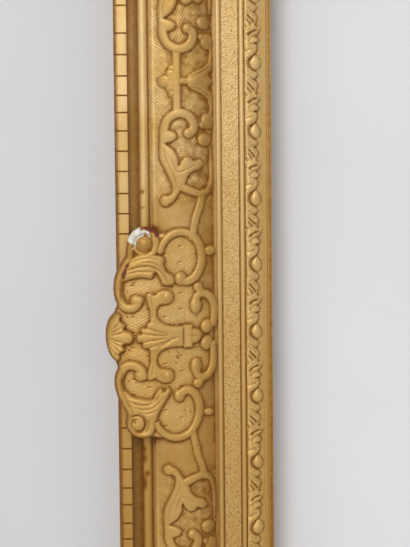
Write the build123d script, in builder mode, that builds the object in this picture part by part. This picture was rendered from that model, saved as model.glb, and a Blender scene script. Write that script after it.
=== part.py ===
from build123d import *
import os

# Gilded picture frame: a softwood carcass, three applied mouldings, a notched outer strip and
# pressed composition ornament. Millimetres, +Z up, the back on Y = 0 and the front towards -Y.
# Every rail is drawn in its own axes: X from the outer edge to the opening, Y along the rail,
# Z from the back to the front.

# Overall sizes
OUTER_HEIGHT = 872.0
OUTER_WIDTH = 762.0
RAIL_WIDTH = 120.0

# Softwood carcass
BASE_THICKNESS = 20.0
REBATE_WIDTH = 10.0

# Notched outer strip
STRIP_WIDTH = 8.4
STRIP_BACK = 5.0
STRIP_FRONT = 33.0
STRIP_ROUNDING = 1.4
NOTCH_PITCH = 15.0
NOTCH_WIDTH = 0.9
NOTCH_DEPTH = 0.8

# Main moulding: hollow, outer bead and cushion frieze
HOLLOW_WIDTH = 9.2
HOLLOW_FLOOR = 25.0
HOLLOW_BEND_ACROSS = 0.6
HOLLOW_BEND_RISE = 0.15
OUTER_BEAD_RADIUS = 3.3
OUTER_BEAD_HEIGHT = 33.2
OUTER_QUIRK = 2.1
OUTER_QUIRK_SLOPE = 0.7
QUIRK_DEPTH = 1.6
FRIEZE_OUTER_HEIGHT = 33.5
FRIEZE_CROWN_HEIGHT = 39.5
FRIEZE_INNER_HEIGHT = 28.5
FRIEZE_CROWN_REACH = 20.0

# Sight moulding, counted from the frieze to the opening
INNER_QUIRK = 2.5
SAND_BEAD_RADIUS = 2.0
SAND_WIDTH = 12.5
SAND_HEIGHT = 28.3
LEAF_BEAD_RADIUS = 1.75
FILLET_GAP = 1.0
LEAF_BED_WIDTH = 14.0
LEAF_BED_OUTER = 27.0
LEAF_BED_INNER = 23.6
LIP_WIDTH = 3.0
LIP_COVE = 2.5
RIM_WIDTH = 1.5
RIM_HEIGHT = 22.0

# Pressed ornament
GROUND_THICKNESS = 1.0
CARTOUCHE_HALF = 86.0
CORNER_LEG = 130.0
RUN_RELIEF = 3.0
CARTOUCHE_CROWN = 43.0
CROWN_OUTER_RISE = 3.0
CROWN_INNER_RISE = 1.0
CARTOUCHE_RELIEF = 4.0
SHELL_RELIEF = 2.5
ORNAMENT_OVERHANG = 2.2
SCROLL_BAND = 7.0
HORN_BAND = 6.0
STEM_BAND = 5.0
BAR_WIDTH = 6.3
OVAL_OUTER = (16.8, 22.2)
OVAL_INNER = (10.4, 15.8)
COLLAR_WIDTH = 7.0
COLLAR_LENGTH = 18.0
COLLAR_ROUNDING = 2.5
CORNER_FAN_INSET = 20.0
LEAF_PITCH = 52.0
LEAF_GROUND = 0.7
LEAF_RELIEF = 1.5
LEAF_SHOULDER = 4.0
BUD_HALF_WIDTH = 3.3

# Leaf band: places across the bed as shares of its width, and along it as shares of the pitch
LEAF_TIP_ACROSS = 0.68
BUD_ACROSS = 0.6
BUD_HALF_LENGTH = 0.075
LEAF_ROOT = 0.06
LEAF_THROAT = 0.1
LEAF_LOBE = 0.26
LEAF_TIP = 0.45
LEAF_FOOT = 0.47
FIRST_LOBE_RADIUS = 0.14
SECOND_LOBE_RADIUS = 0.12

# Scroll runs: a scroll's length as a fixed part and a share of the run, and the bar's share of the rest
SCROLL_FIXED = 30.2
SCROLL_SHARE = 0.2
BAR_SHARE = 0.6

# Corner keys let into the back
KEY_LENGTH = 64.0
KEY_END = 24.0
KEY_WAIST = 14.0
KEY_THICKNESS = 6.0
KEY_CLEARANCE = 0.1

# Screws, turn buttons and ring hangers
SCREW_RADIUS = 1.75
SCREW_LENGTH = 14.0
SCREW_HEAD_RADIUS = 3.4
SCREW_HEAD_HEIGHT = 2.0
SCREW_HEAD_ROUNDING = 1.6
SCREW_SLOT = 0.8
SCREW_SLOT_DEPTH = 0.75
PILOT_CLEARANCE = 0.05
RUNNING_CLEARANCE = 0.06
LIFT = 0.2
BUTTON_THICKNESS = 1.5
BUTTON_LENGTH = 28.0
BUTTON_ROOT_RADIUS = 6.0
BUTTON_TIP_RADIUS = 4.0
BUTTON_SPACING = 360.0
BUTTON_INSET = 12.0
PLATE_WIDTH = 14.0
PLATE_LENGTH = 54.0
PLATE_THICKNESS = 1.5
PLATE_HEIGHT_UP = 190.0
PLATE_FIRST_SCREW = 30.0
PLATE_SECOND_SCREW = 46.0
WIRE_RADIUS = 1.5
RING_HALF_WIDTH = 12.0
RING_DROP = 10.0
RING_BEND = 3.5

# Places across the rail that follow from the sizes above
HOLLOW_END = STRIP_WIDTH + HOLLOW_WIDTH
OUTER_BEAD_END = HOLLOW_END + 2 * OUTER_BEAD_RADIUS
FRIEZE_START = OUTER_BEAD_END + OUTER_QUIRK
SIGHT_EDGE = RAIL_WIDTH
RIM_START = SIGHT_EDGE - RIM_WIDTH
LIP_END = RIM_START - LIP_COVE
LEAF_BED_END = LIP_END - LIP_WIDTH
LEAF_BED_START = LEAF_BED_END - LEAF_BED_WIDTH
LEAF_BEAD_END = LEAF_BED_START - FILLET_GAP / 2
LEAF_BEAD_START = LEAF_BEAD_END - 2 * LEAF_BEAD_RADIUS
SAND_END = LEAF_BEAD_START - FILLET_GAP
SAND_START = SAND_END - SAND_WIDTH
SAND_BEAD_END = SAND_START - FILLET_GAP
SAND_BEAD_START = SAND_BEAD_END - 2 * SAND_BEAD_RADIUS
FRIEZE_END = SAND_BEAD_START - INNER_QUIRK
SIGHT_START = FRIEZE_END + INNER_QUIRK / 2
REBATE_EDGE = SIGHT_EDGE - REBATE_WIDTH
FRIEZE_CROWN = FRIEZE_START + FRIEZE_CROWN_REACH
CROWN_START = -2 * STRIP_WIDTH

# The ornament is drawn for a frieze that ends this far from the outer edge
DRAWN_FRIEZE_END = 74.0
ORNAMENT_STRETCH = FRIEZE_END / DRAWN_FRIEZE_END

# Knuckle of the hanger, round the straight side of its ring
KNUCKLE_BORE = WIRE_RADIUS + RUNNING_CLEARANCE
KNUCKLE_RADIUS = KNUCKLE_BORE + PLATE_THICKNESS
KNUCKLE_AXIS = KNUCKLE_RADIUS + LIFT

FRONT = (0, -1, 0)
LEFT = Plane(origin=(-OUTER_WIDTH / 2, 0, 0), x_dir=(1, 0, 0), z_dir=FRONT)
RIGHT = Plane(origin=(OUTER_WIDTH / 2, 0, 0), x_dir=(-1, 0, 0), z_dir=FRONT)
TOP = Plane(origin=(0, 0, OUTER_HEIGHT / 2), x_dir=(0, 0, -1), z_dir=FRONT)
BOTTOM = Plane(origin=(0, 0, -OUTER_HEIGHT / 2), x_dir=(0, 0, 1), z_dir=FRONT)
SIDES = {
    "left": (LEFT, OUTER_HEIGHT / 2),
    "right": (RIGHT, OUTER_HEIGHT / 2),
    "top": (TOP, OUTER_WIDTH / 2),
    "bottom": (BOTTOM, OUTER_WIDTH / 2),
}
# A rail's own plane moved to its far end is the plane of one corner
CORNER_OF_SIDE = {
    "left": "top_left",
    "top": "top_right",
    "right": "bottom_right",
    "bottom": "bottom_left",
}
# Names of a rail's two runs, the far end of its own axis first
RUN_ENDS = {
    "left": ("upper", "lower"),
    "right": ("lower", "upper"),
    "top": ("right", "left"),
    "bottom": ("left", "right"),
}
SECTION = Plane(origin=(0, 0, 0), x_dir=(1, 0, 0), z_dir=(0, -1, 0))


def mitre(half, sign):
    """The mitre plane at one end of a rail, with its normal pointing off the rail."""
    return Plane(origin=(0, sign * half, 0), z_dir=(1, sign, 0))


def frieze_arc(rise):
    """The cushion's cross curve, lifted by rise above the finished ground."""
    return ThreePointArc(
        (FRIEZE_START, FRIEZE_OUTER_HEIGHT + rise),
        (FRIEZE_CROWN, FRIEZE_CROWN_HEIGHT + rise),
        (FRIEZE_END, FRIEZE_INNER_HEIGHT + rise),
    )


def bead_arc(start, radius, height):
    """A half-round bead from start, across the rail."""
    crest = (start + radius, height + radius)
    return ThreePointArc((start, height), crest, (start + 2 * radius, height))


def base_rail_section():
    """Carcass board, back to front, short of the rebate."""
    with BuildSketch() as section:
        with BuildLine():
            Polyline(
                (STRIP_WIDTH, 0),
                (REBATE_EDGE, 0),
                (REBATE_EDGE, BASE_THICKNESS),
                (STRIP_WIDTH, BASE_THICKNESS),
                close=True,
            )
        make_face()
    return section.sketch


def strip_section():
    """Outer strip with a rounded outer arris."""
    with BuildSketch() as section:
        with BuildLine():
            Polyline(
                (STRIP_WIDTH, STRIP_FRONT),
                (STRIP_WIDTH, STRIP_BACK),
                (0, STRIP_BACK),
                (0, STRIP_FRONT - STRIP_ROUNDING),
            )
            RadiusArc((0, STRIP_FRONT - STRIP_ROUNDING), (STRIP_ROUNDING, STRIP_FRONT), STRIP_ROUNDING)
            Line((STRIP_ROUNDING, STRIP_FRONT), (STRIP_WIDTH, STRIP_FRONT))
        make_face()
    return section.sketch


def main_moulding_section():
    """Hollow, outer bead, quirk and the bed of the cushion frieze."""
    hollow_middle = (
        STRIP_WIDTH + HOLLOW_BEND_ACROSS * HOLLOW_WIDTH,
        HOLLOW_FLOOR + HOLLOW_BEND_RISE * HOLLOW_WIDTH,
    )
    quirk_floor = OUTER_BEAD_HEIGHT - QUIRK_DEPTH
    bed_outer = FRIEZE_OUTER_HEIGHT - GROUND_THICKNESS
    bed_inner = FRIEZE_INNER_HEIGHT - GROUND_THICKNESS
    with BuildSketch() as section:
        with BuildLine():
            ThreePointArc((STRIP_WIDTH, HOLLOW_FLOOR), hollow_middle, (HOLLOW_END, OUTER_BEAD_HEIGHT))
            bead_arc(HOLLOW_END, OUTER_BEAD_RADIUS, OUTER_BEAD_HEIGHT)
            Polyline(
                (OUTER_BEAD_END, OUTER_BEAD_HEIGHT),
                (OUTER_BEAD_END + OUTER_QUIRK_SLOPE, quirk_floor),
                (FRIEZE_START, quirk_floor),
                (FRIEZE_START, bed_outer),
            )
            frieze_arc(-GROUND_THICKNESS)
            Polyline(
                (FRIEZE_END, bed_inner),
                (FRIEZE_END, bed_inner - QUIRK_DEPTH / 2),
                (SIGHT_START, bed_inner - QUIRK_DEPTH / 2),
                (SIGHT_START, BASE_THICKNESS),
                (STRIP_WIDTH, BASE_THICKNESS),
                (STRIP_WIDTH, HOLLOW_FLOOR),
            )
        make_face()
    return section.sketch


def sight_moulding_section():
    """Sand bead, sanded flat, leaf bead, sloping leaf bed, lip, cove and rim."""
    quirk_floor = FRIEZE_INNER_HEIGHT - GROUND_THICKNESS - QUIRK_DEPTH / 2
    gap_floor = SAND_HEIGHT - FILLET_GAP / 2
    with BuildSketch() as section:
        with BuildLine():
            Polyline(
                (SIGHT_START, BASE_THICKNESS),
                (SIGHT_START, quirk_floor),
                (SAND_BEAD_START, quirk_floor),
                (SAND_BEAD_START, SAND_HEIGHT),
            )
            bead_arc(SAND_BEAD_START, SAND_BEAD_RADIUS, SAND_HEIGHT)
            Polyline(
                (SAND_BEAD_END, SAND_HEIGHT),
                (SAND_BEAD_END, gap_floor),
                (SAND_START, gap_floor),
                (SAND_START, SAND_HEIGHT),
                (SAND_END, SAND_HEIGHT),
                (SAND_END, gap_floor),
                (LEAF_BEAD_START, gap_floor),
                (LEAF_BEAD_START, SAND_HEIGHT),
            )
            bead_arc(LEAF_BEAD_START, LEAF_BEAD_RADIUS, SAND_HEIGHT)
            Polyline(
                (LEAF_BEAD_END, SAND_HEIGHT),
                (LEAF_BEAD_END, LEAF_BED_OUTER),
                (LEAF_BED_START, LEAF_BED_OUTER),
                (LEAF_BED_END, LEAF_BED_INNER),
                (LIP_END, LEAF_BED_INNER),
            )
            RadiusArc((LIP_END, LEAF_BED_INNER), (RIM_START, RIM_HEIGHT), LIP_COVE)
            Polyline(
                (RIM_START, RIM_HEIGHT),
                (SIGHT_EDGE, RIM_HEIGHT),
                (SIGHT_EDGE, BASE_THICKNESS),
                (SIGHT_START, BASE_THICKNESS),
            )
        make_face()
    return section.sketch


def mitred(section, half):
    """A rail's length of one section, mitred at both ends."""
    with BuildPart() as length:
        with BuildSketch(SECTION):
            add(section)
        extrude(amount=half, both=True)
        split(bisect_by=mitre(half, 1), keep=Keep.BOTTOM)
        split(bisect_by=mitre(half, -1), keep=Keep.BOTTOM)
    return length.part


def notched_strip(half):
    """The outer strip with cuts sawn across its face."""
    count = 2 * int(half / NOTCH_PITCH) - 1
    with BuildPart() as strip:
        add(mitred(strip_section(), half))
        with BuildSketch(Plane.XY.offset(STRIP_FRONT - NOTCH_DEPTH)):
            with Locations((STRIP_WIDTH / 2, 0)):
                with GridLocations(1, NOTCH_PITCH, 1, count):
                    Rectangle(2 * STRIP_WIDTH, NOTCH_WIDTH)
        extrude(amount=2 * NOTCH_DEPTH, mode=Mode.SUBTRACT)
    return strip.part


def place(u, along):
    """A drawn point of the ornament, stretched with the frieze."""
    return (u * ORNAMENT_STRETCH, along)


def band(points, width):
    """A scroll of even width through the points, with round ends."""
    with BuildSketch() as scroll:
        with BuildLine():
            Spline(*points)
        trace(line_width=width)
        with Locations(points[0], points[-1]):
            Circle(width / 2)
    return scroll.sketch


def leaf(*edges):
    """A leaf whose edge is one smooth curve after another, closed by a straight line."""
    with BuildSketch() as blade:
        with BuildLine():
            for points in edges:
                Spline(*points)
            if edges[-1][-1] != edges[0][0]:
                Line(edges[-1][-1], edges[0][0])
        make_face()
    return blade.sketch


def seat_line(inner_end):
    """What an ornament rests on, from past the strip, over the bead and along the cushion."""
    bed_outer = FRIEZE_OUTER_HEIGHT - GROUND_THICKNESS
    bed_inner = FRIEZE_INNER_HEIGHT - GROUND_THICKNESS
    Polyline(
        (CROWN_START, STRIP_FRONT),
        (STRIP_WIDTH, STRIP_FRONT),
        (HOLLOW_END, OUTER_BEAD_HEIGHT),
    )
    bead_arc(HOLLOW_END, OUTER_BEAD_RADIUS, OUTER_BEAD_HEIGHT)
    Line((OUTER_BEAD_END, OUTER_BEAD_HEIGHT), (FRIEZE_START, bed_outer))
    frieze_arc(-GROUND_THICKNESS)
    Line((FRIEZE_END, bed_inner), (inner_end, bed_inner))


def crown_section(rise):
    """The space between an ornament's seat and its domed face, lifted by rise."""
    inner_end = FRIEZE_END + ORNAMENT_OVERHANG
    outer_height = STRIP_FRONT + CROWN_OUTER_RISE + rise
    inner_height = FRIEZE_INNER_HEIGHT + CROWN_INNER_RISE + rise
    with BuildSketch() as section:
        with BuildLine():
            seat_line(inner_end)
            Line((inner_end, FRIEZE_INNER_HEIGHT - GROUND_THICKNESS), (inner_end, inner_height))
            ThreePointArc(
                (inner_end, inner_height),
                (OUTER_BEAD_END, CARTOUCHE_CROWN + rise),
                (CROWN_START, outer_height),
            )
            Line((CROWN_START, outer_height), (CROWN_START, STRIP_FRONT))
        make_face()
    return section.sketch


def ground_section(rise):
    """The cushion's pressed sheet, from its bed to rise above the finished ground."""
    bed_outer = FRIEZE_OUTER_HEIGHT - GROUND_THICKNESS
    bed_inner = FRIEZE_INNER_HEIGHT - GROUND_THICKNESS
    with BuildSketch() as section:
        with BuildLine():
            frieze_arc(-GROUND_THICKNESS)
            Line((FRIEZE_END, bed_inner), (FRIEZE_END, FRIEZE_INNER_HEIGHT + rise))
            frieze_arc(rise)
            Line((FRIEZE_START, FRIEZE_OUTER_HEIGHT + rise), (FRIEZE_START, bed_outer))
        make_face()
    return section.sketch


def pressed(outline, section, reach):
    """An outline cut out of the space that a section leaves along the rail."""
    with BuildPart() as pressing:
        with BuildSketch(SECTION):
            add(section)
        extrude(amount=reach, both=True)
        with BuildSketch(Plane.XY):
            add(outline)
        extrude(amount=2 * CARTOUCHE_CROWN, mode=Mode.INTERSECT)
    return pressing.part


def ground_sheet(half):
    """The plain ground of the cushion between two lines across the rail."""
    with BuildPart() as sheet:
        with BuildSketch(SECTION):
            add(ground_section(0))
        extrude(amount=half, both=True)
    return sheet.part


def run_places(run):
    """How the drawing of a run, counted from its middle, is laid along a run of this length."""
    drawn_bar = 21.3
    drawn_tail = 95.5
    drawn_end = 110.0
    scroll = SCROLL_FIXED + SCROLL_SHARE * run
    bar = BAR_SHARE * (run / 2 - scroll)

    def lay(u, drawn):
        if drawn <= drawn_bar:
            along = drawn * min(1.0, bar / drawn_bar)
        elif drawn <= drawn_tail:
            along = bar + (drawn - drawn_bar) * scroll / (drawn_tail - drawn_bar)
        else:
            spare = run / 2 - bar - scroll
            along = bar + scroll + (drawn - drawn_tail) * spare / (drawn_end - drawn_tail)
        return place(u, along)

    return lay


def run_outline(run):
    """Bar, scrolls, split leaves, balls and a flower, mirrored about the middle of the run."""
    lay = run_places(run)
    bar_middle = 46.6
    bar_end = 22.5
    hook = [(35.5, 41), (37.5, 30.5), (46.7, 24.8), (56, 27.8), (59.5, 34.5), (55.5, 39.8)]
    branch = [(47, 80), (56.3, 84), (64, 86), (70, 80.8), (71.5, 71.4), (71.5, 62)]
    stem = [(63.5, 86), (61.2, 102.8), (58.7, 110)]
    left_edge = [(32, 40), (31.7, 60.4), (37.6, 69), (41.7, 78.8), (39, 87.5), (34.6, 91.3)]
    tail_edge = [(37, 95.3), (44.5, 90), (48.6, 81.5), (53.3, 75), (60.4, 68.3)]
    tip_edge = [(60.4, 68.3), (66.7, 62.5), (57.6, 58.8), (50.5, 66)]
    lobe_edge = [(50.5, 66), (47.3, 58), (45, 52.8), (37.8, 46.5)]
    balls = [(68.9, 30.6, 4.7), (64.8, 35.2, 2.3), (66.9, 45.5, 4.5)]
    curl_ends = [(34.8, 91.3, 4.3), (55.5, 39.8, 4.5)]
    flower = [(37.7, 0, 4.7), (40, 8.2, 2.5), (52.5, 0, 3.6), (70.5, 10.5, 2.8)]
    bell_edge = [(54, 0), (60, 5.5), (68, 12), (73, 11.5), (69.5, 5.5), (75, 0)]
    with BuildSketch() as outline:
        with Locations(place(bar_middle, 0)):
            Rectangle(BAR_WIDTH, 2 * lay(bar_middle, bar_end)[1])
        for points, width in ((hook, SCROLL_BAND), (branch, STEM_BAND), (stem, STEM_BAND)):
            add(band([lay(u, drawn) for u, drawn in points], width))
        edges = [left_edge, [left_edge[-1], tail_edge[0]], tail_edge, tip_edge, lobe_edge]
        add(leaf(*[[lay(u, drawn) for u, drawn in points] for points in edges]))
        for u, drawn, radius in balls + curl_ends:
            with Locations(lay(u, drawn)):
                Circle(radius)
        for u, along, radius in flower:
            with Locations(place(u, along)):
                Circle(radius)
        add(leaf([place(u, along) for u, along in bell_edge]))
        mirror(about=Plane.XZ)
    return outline.sketch


def scroll_run(run):
    """One pressed length of scrolling leaf between a cartouche and a corner."""
    with BuildPart() as pressing:
        add(ground_sheet(run / 2))
        add(pressed(run_outline(run), ground_section(RUN_RELIEF), run / 2))
    return pressing.part


def scroll_arm():
    """Half of a cartouche: outer scroll with its volute, acanthus leaf, oval and stem."""
    scroll = [(12, 25), (3, 29.5), (1, 40), (5.6, 54), (9.7, 68)]
    volute = [(17.6, 77.5), (25.5, 72.5), (23.5, 66.5)]
    upper_leaf = [(6, 57), (20, 63), (33, 63), (38, 56), (44, 45)]
    lower_leaf = [(44, 45), (34, 41.5), (24, 45.6), (12, 44), (3, 45)]
    stem = [(56, 79), (58.7, CARTOUCHE_HALF - STEM_BAND / 2)]
    knobs = [(15, 29, 4.3), (19, 71.4, 5.5), (46.6, 44.5, 3.5), (71, 64, 3.5), (61.7, 37.5, 4)]
    oval = place(49, 61)
    with BuildSketch() as arm:
        with Locations(oval):
            Ellipse(*OVAL_OUTER)
            Ellipse(*OVAL_INNER, mode=Mode.SUBTRACT)
        add(band([place(u, along) for u, along in scroll + volute], SCROLL_BAND))
        add(leaf(*[[place(u, along) for u, along in points] for points in (upper_leaf, lower_leaf)]))
        add(band([place(u, along) for u, along in stem], STEM_BAND))
        for u, along, radius in knobs:
            with Locations(place(u, along)):
                Circle(radius)
    return arm.sketch


def shell_outline():
    """Fan with a rounded back and scalloped front, opening along +X."""
    lobes = [(0.5, 15.5, 5.2), (4, 8, 5.6), (5.2, 0, 5.6)]
    back = [place(0, 21), place(-7.5, 13), place(-10, 0), place(-7.5, -13), place(0, -21)]
    with BuildSketch() as shell:
        add(leaf(back))
        for u, along, radius in lobes:
            with Locations(place(u, along), place(u, -along)):
                Circle(radius)
    return shell.sketch


def palmette_outline():
    """Fan of lobes that narrows to a collar, a button and two berries."""
    fan = [(20, 12), (36, 5.5), (50, 4.5)]
    lobes = [(17, 0, 4.2), (18, 6, 3.8), (21, 10.5, 3.8)]
    beads = [(61.5, 0, 4), (69.1, 5.6, 4.7)]
    collar = place(53.5, 0)
    edge = [place(u, along) for u, along in fan]
    other = [place(u, -along) for u, along in reversed(fan)]
    with BuildSketch() as palmette:
        add(leaf(edge, [edge[-1], other[0]], other))
        with Locations(collar):
            RectangleRounded(COLLAR_WIDTH, COLLAR_LENGTH, COLLAR_ROUNDING)
        for u, along, radius in lobes + beads:
            with Locations(place(u, along), place(u, -along)):
                Circle(radius)
    return palmette.sketch


def cartouche_outline():
    """Both arms of a centre cartouche with the horns and inner scrolls between them."""
    inner_scroll = [(61.7, 35), (69.5, 28.5), (72.5, 19), (70.8, 9.8)]
    drop = [(59.8, 28), (59.8, 18)]
    horn = [(26.2, 10), (27, 20), (27.5, 33)]
    horn_top = [(23.3, 34), (32, 34.4), (39.3, 31.6)]
    with BuildSketch() as outline:
        add(scroll_arm())
        for points in (inner_scroll, drop, horn, horn_top):
            add(band([place(u, along) for u, along in points], HORN_BAND))
        mirror(about=Plane.XZ)
        add(palmette_outline())
    return outline.sketch


def cartouche_panel():
    """Outline of the domed panel under a centre cartouche."""
    outer = [(-7, 0), (-5, 15), (0, 30), (2, 46), (7, 58), (10, 69), (17, 77)]
    inner = [(17, 77), (28, 66), (44, 52), (60, 39), (71, 27), (74, 12), (74, 0)]
    with BuildSketch() as panel:
        add(leaf([place(u, along) for u, along in outer], [place(u, along) for u, along in inner]))
        mirror(about=Plane.XZ)
    return panel.sketch


def centre_cartouche():
    """The casting in the middle of a rail: sheet, domed panel, scrollwork and shell."""
    with BuildPart() as casting:
        add(ground_sheet(CARTOUCHE_HALF))
        add(pressed(cartouche_panel(), crown_section(0), CARTOUCHE_HALF))
        add(pressed(cartouche_outline(), crown_section(CARTOUCHE_RELIEF), CARTOUCHE_HALF))
        add(pressed(shell_outline(), crown_section(CARTOUCHE_RELIEF + SHELL_RELIEF), CARTOUCHE_HALF))
    return casting.part


def corner_outline():
    """One leg of a corner cartouche, drawn from the outer corner down along -Y."""
    leg_end = CORNER_LEG - CARTOUCHE_HALF
    spine = [(61.7, 82), (67, 76), (69, 70)]
    with BuildSketch() as leg:
        with BuildSketch(mode=Mode.PRIVATE) as arm:
            add(scroll_arm())
            mirror(about=Plane.XZ, mode=Mode.REPLACE)
        add(arm.sketch.moved(Location((0, -leg_end))))
        add(band([place(u, -along) for u, along in spine], HORN_BAND))
    return leg.sketch


def corner_panel():
    """Domed panel of one leg of a corner cartouche, carried past the mitre."""
    outer = [(17, -121), (10, -113), (7, -102), (2, -90), (0, -74), (-4, -50), (-6, -25), (-3, 3)]
    inner = [(90, -90), (70, -84), (60, -84), (44, -96), (28, -110), (17, -121)]
    with BuildSketch() as panel:
        edges = (outer, [outer[-1], inner[0]], inner)
        add(leaf(*[[place(u, along) for u, along in points] for points in edges]))
    return panel.sketch


def corner_fan():
    """Shell and palmette on the mitre line of a corner."""
    diagonal = Location((CORNER_FAN_INSET, -CORNER_FAN_INSET, 0), (0, 0, -45))
    with BuildSketch() as fan:
        add(shell_outline().moved(diagonal))
        add(palmette_outline().moved(diagonal))
    return fan.sketch


def corner_cartouche():
    """The casting over a mitre: one leg, cut on the mitre and mirrored across it."""
    cut = mitre(0, 1)
    with BuildPart() as casting:
        with BuildSketch(SECTION):
            add(ground_section(0))
        extrude(amount=CORNER_LEG)
        for outline, rise in (
            (corner_panel(), 0),
            (corner_outline(), CARTOUCHE_RELIEF),
            (corner_fan(), CARTOUCHE_RELIEF + SHELL_RELIEF),
        ):
            add(pressed(outline, crown_section(rise), CORNER_LEG))
        split(bisect_by=cut, keep=Keep.BOTTOM)
        mirror(about=cut)
    return casting.part


def leaf_bed_height(u):
    """Height of the sloping leaf bed."""
    share = (u - LEAF_BED_START) / LEAF_BED_WIDTH
    return LEAF_BED_OUTER + share * (LEAF_BED_INNER - LEAF_BED_OUTER)


def leaf_section(rise):
    """The space on the leaf bed up to rise above it."""
    edge = FILLET_GAP / 4
    start = LEAF_BED_START + edge
    end = LEAF_BED_END - edge
    with BuildSketch() as section:
        with BuildLine():
            Polyline(
                (start, leaf_bed_height(start)),
                (end, leaf_bed_height(end)),
                (end, leaf_bed_height(end) + rise),
                (start, leaf_bed_height(start) + rise),
                close=True,
            )
        make_face()
    return section.sketch


def leaf_band(half):
    """Pressed strip of leaves and buds next to the opening."""
    inner_half = half - LEAF_BED_END
    count = round(2 * inner_half / LEAF_PITCH)
    pitch = 2 * (half - LEAF_BED_START) / count
    root = LEAF_BED_START
    tip = LEAF_BED_START + LEAF_TIP_ACROSS * LEAF_BED_WIDTH
    bud = LEAF_BED_START + BUD_ACROSS * LEAF_BED_WIDTH
    with BuildSketch() as leaves:
        with GridLocations(1, pitch, 1, count):
            for sign in (1, -1):
                along = sign * pitch
                near = (root, LEAF_ROOT * along)
                throat = (tip - LEAF_SHOULDER, LEAF_THROAT * along)
                lobe = (tip, LEAF_LOBE * along)
                far = (tip, LEAF_TIP * along)
                foot = (root, LEAF_FOOT * along)
                with BuildSketch(mode=Mode.PRIVATE) as blade:
                    with BuildLine():
                        Line(near, throat)
                        RadiusArc(throat, lobe, FIRST_LOBE_RADIUS * along)
                        RadiusArc(lobe, far, SECOND_LOBE_RADIUS * along)
                        Polyline(far, foot, near)
                    make_face()
                add(blade.sketch)
            with Locations((bud, 0)):
                Ellipse(BUD_HALF_WIDTH, BUD_HALF_LENGTH * pitch)
    with BuildPart() as strip:
        add(pressed(leaves.sketch, leaf_section(LEAF_GROUND + LEAF_RELIEF), half))
        with BuildSketch(SECTION):
            add(leaf_section(LEAF_GROUND))
        extrude(amount=half, both=True)
        split(bisect_by=mitre(half, 1), keep=Keep.BOTTOM)
        split(bisect_by=mitre(half, -1), keep=Keep.BOTTOM)
    return strip.part


def key_outline(clearance):
    """Double dovetail across a mitre, seen from the back."""
    half = KEY_LENGTH / 2 + clearance
    end = KEY_END / 2 + clearance
    waist = KEY_WAIST / 2 + clearance
    with BuildSketch() as key:
        with BuildLine():
            Polyline((-half, end), (0, waist), (half, end))
            Polyline((half, end), (half, -end), (0, -waist), (-half, -end), (-half, end))
        make_face()
    return key.sketch


def key_plane(plane, half, sign):
    """A plane on the back, on the mitre line at one end of a rail, its X across the joint."""
    middle = (STRIP_WIDTH + REBATE_EDGE) / 2
    spot = Plane(origin=(middle, sign * (half - middle), 0), x_dir=(1, sign, 0), z_dir=(0, 0, 1))
    return Plane(plane.location * spot.location)


def screw(head_seat):
    """Slotted round-head screw along +Z, its head on head_seat and its shank going down."""
    with BuildPart() as body:
        with BuildSketch(Plane.XY.offset(head_seat)):
            Circle(SCREW_HEAD_RADIUS)
        extrude(amount=SCREW_HEAD_HEIGHT)
        fillet(body.edges().group_by(Axis.Z)[-1], SCREW_HEAD_ROUNDING)
        with BuildSketch(Plane.XY.offset(head_seat)):
            Circle(SCREW_RADIUS)
        extrude(amount=-SCREW_LENGTH)
        with BuildSketch(Plane.XY.offset(head_seat + SCREW_HEAD_HEIGHT)):
            Rectangle(3 * SCREW_HEAD_RADIUS, SCREW_SLOT)
        extrude(amount=-SCREW_SLOT_DEPTH, mode=Mode.SUBTRACT)
    return body.part


def back_plane(x, z):
    """A plane on the back of the frame that looks backwards, its Y up."""
    return Plane(origin=(x, 0, z), x_dir=(-1, 0, 0), z_dir=(0, 1, 0))


# Pivot of each turn button and head of each hanger plate, on the two upright rails
BUTTON_X = OUTER_WIDTH / 2 - REBATE_EDGE + BUTTON_INSET
HANGER_X = OUTER_WIDTH / 2 - (STRIP_WIDTH + REBATE_EDGE) / 2
BUTTONS = {
    "upper_left": (-BUTTON_X, BUTTON_SPACING / 2),
    "lower_left": (-BUTTON_X, -BUTTON_SPACING / 2),
    "upper_right": (BUTTON_X, BUTTON_SPACING / 2),
    "lower_right": (BUTTON_X, -BUTTON_SPACING / 2),
}
HANGERS = {"left": (-HANGER_X, PLATE_HEIGHT_UP), "right": (HANGER_X, PLATE_HEIGHT_UP)}
BUTTON_SEAT = LIFT + BUTTON_THICKNESS + LIFT
BUTTON_SCREWS = [back_plane(x, z) for x, z in BUTTONS.values()]
HANGER_SCREWS = [
    back_plane(x, z - below)
    for x, z in HANGERS.values()
    for below in (PLATE_FIRST_SCREW, PLATE_SECOND_SCREW)
]

os.makedirs("parts", exist_ok=True)

# Carcass boards with pockets for the corner keys and pilot holes for the screws
for side, (plane, half) in SIDES.items():
    board = mitred(base_rail_section(), half)
    with BuildPart() as base_rail:
        with Locations(plane):
            add(board)
        for sign in (1, -1):
            with BuildSketch(key_plane(plane, half, sign)):
                add(key_outline(KEY_CLEARANCE))
            extrude(amount=KEY_THICKNESS + KEY_CLEARANCE, mode=Mode.SUBTRACT)
        if side in ("left", "right"):
            near = [spot for spot in BUTTON_SCREWS + HANGER_SCREWS if spot.origin.X * plane.origin.X > 0]
            with Locations(*near):
                Hole(SCREW_RADIUS + PILOT_CLEARANCE, SCREW_LENGTH + PILOT_CLEARANCE)
    base_rail.part.label = f"base_rail_{side}"
    export_step(base_rail.part, f"parts/base_rail_{side}.step")

# Dovetail keys across the mitres
for side, (plane, half) in SIDES.items():
    corner = CORNER_OF_SIDE[side]
    with BuildPart() as corner_key:
        with BuildSketch(key_plane(plane, half, 1)):
            add(key_outline(0))
        extrude(amount=KEY_THICKNESS)
    corner_key.part.label = f"corner_key_{corner}"
    export_step(corner_key.part, f"parts/corner_key_{corner}.step")

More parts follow.
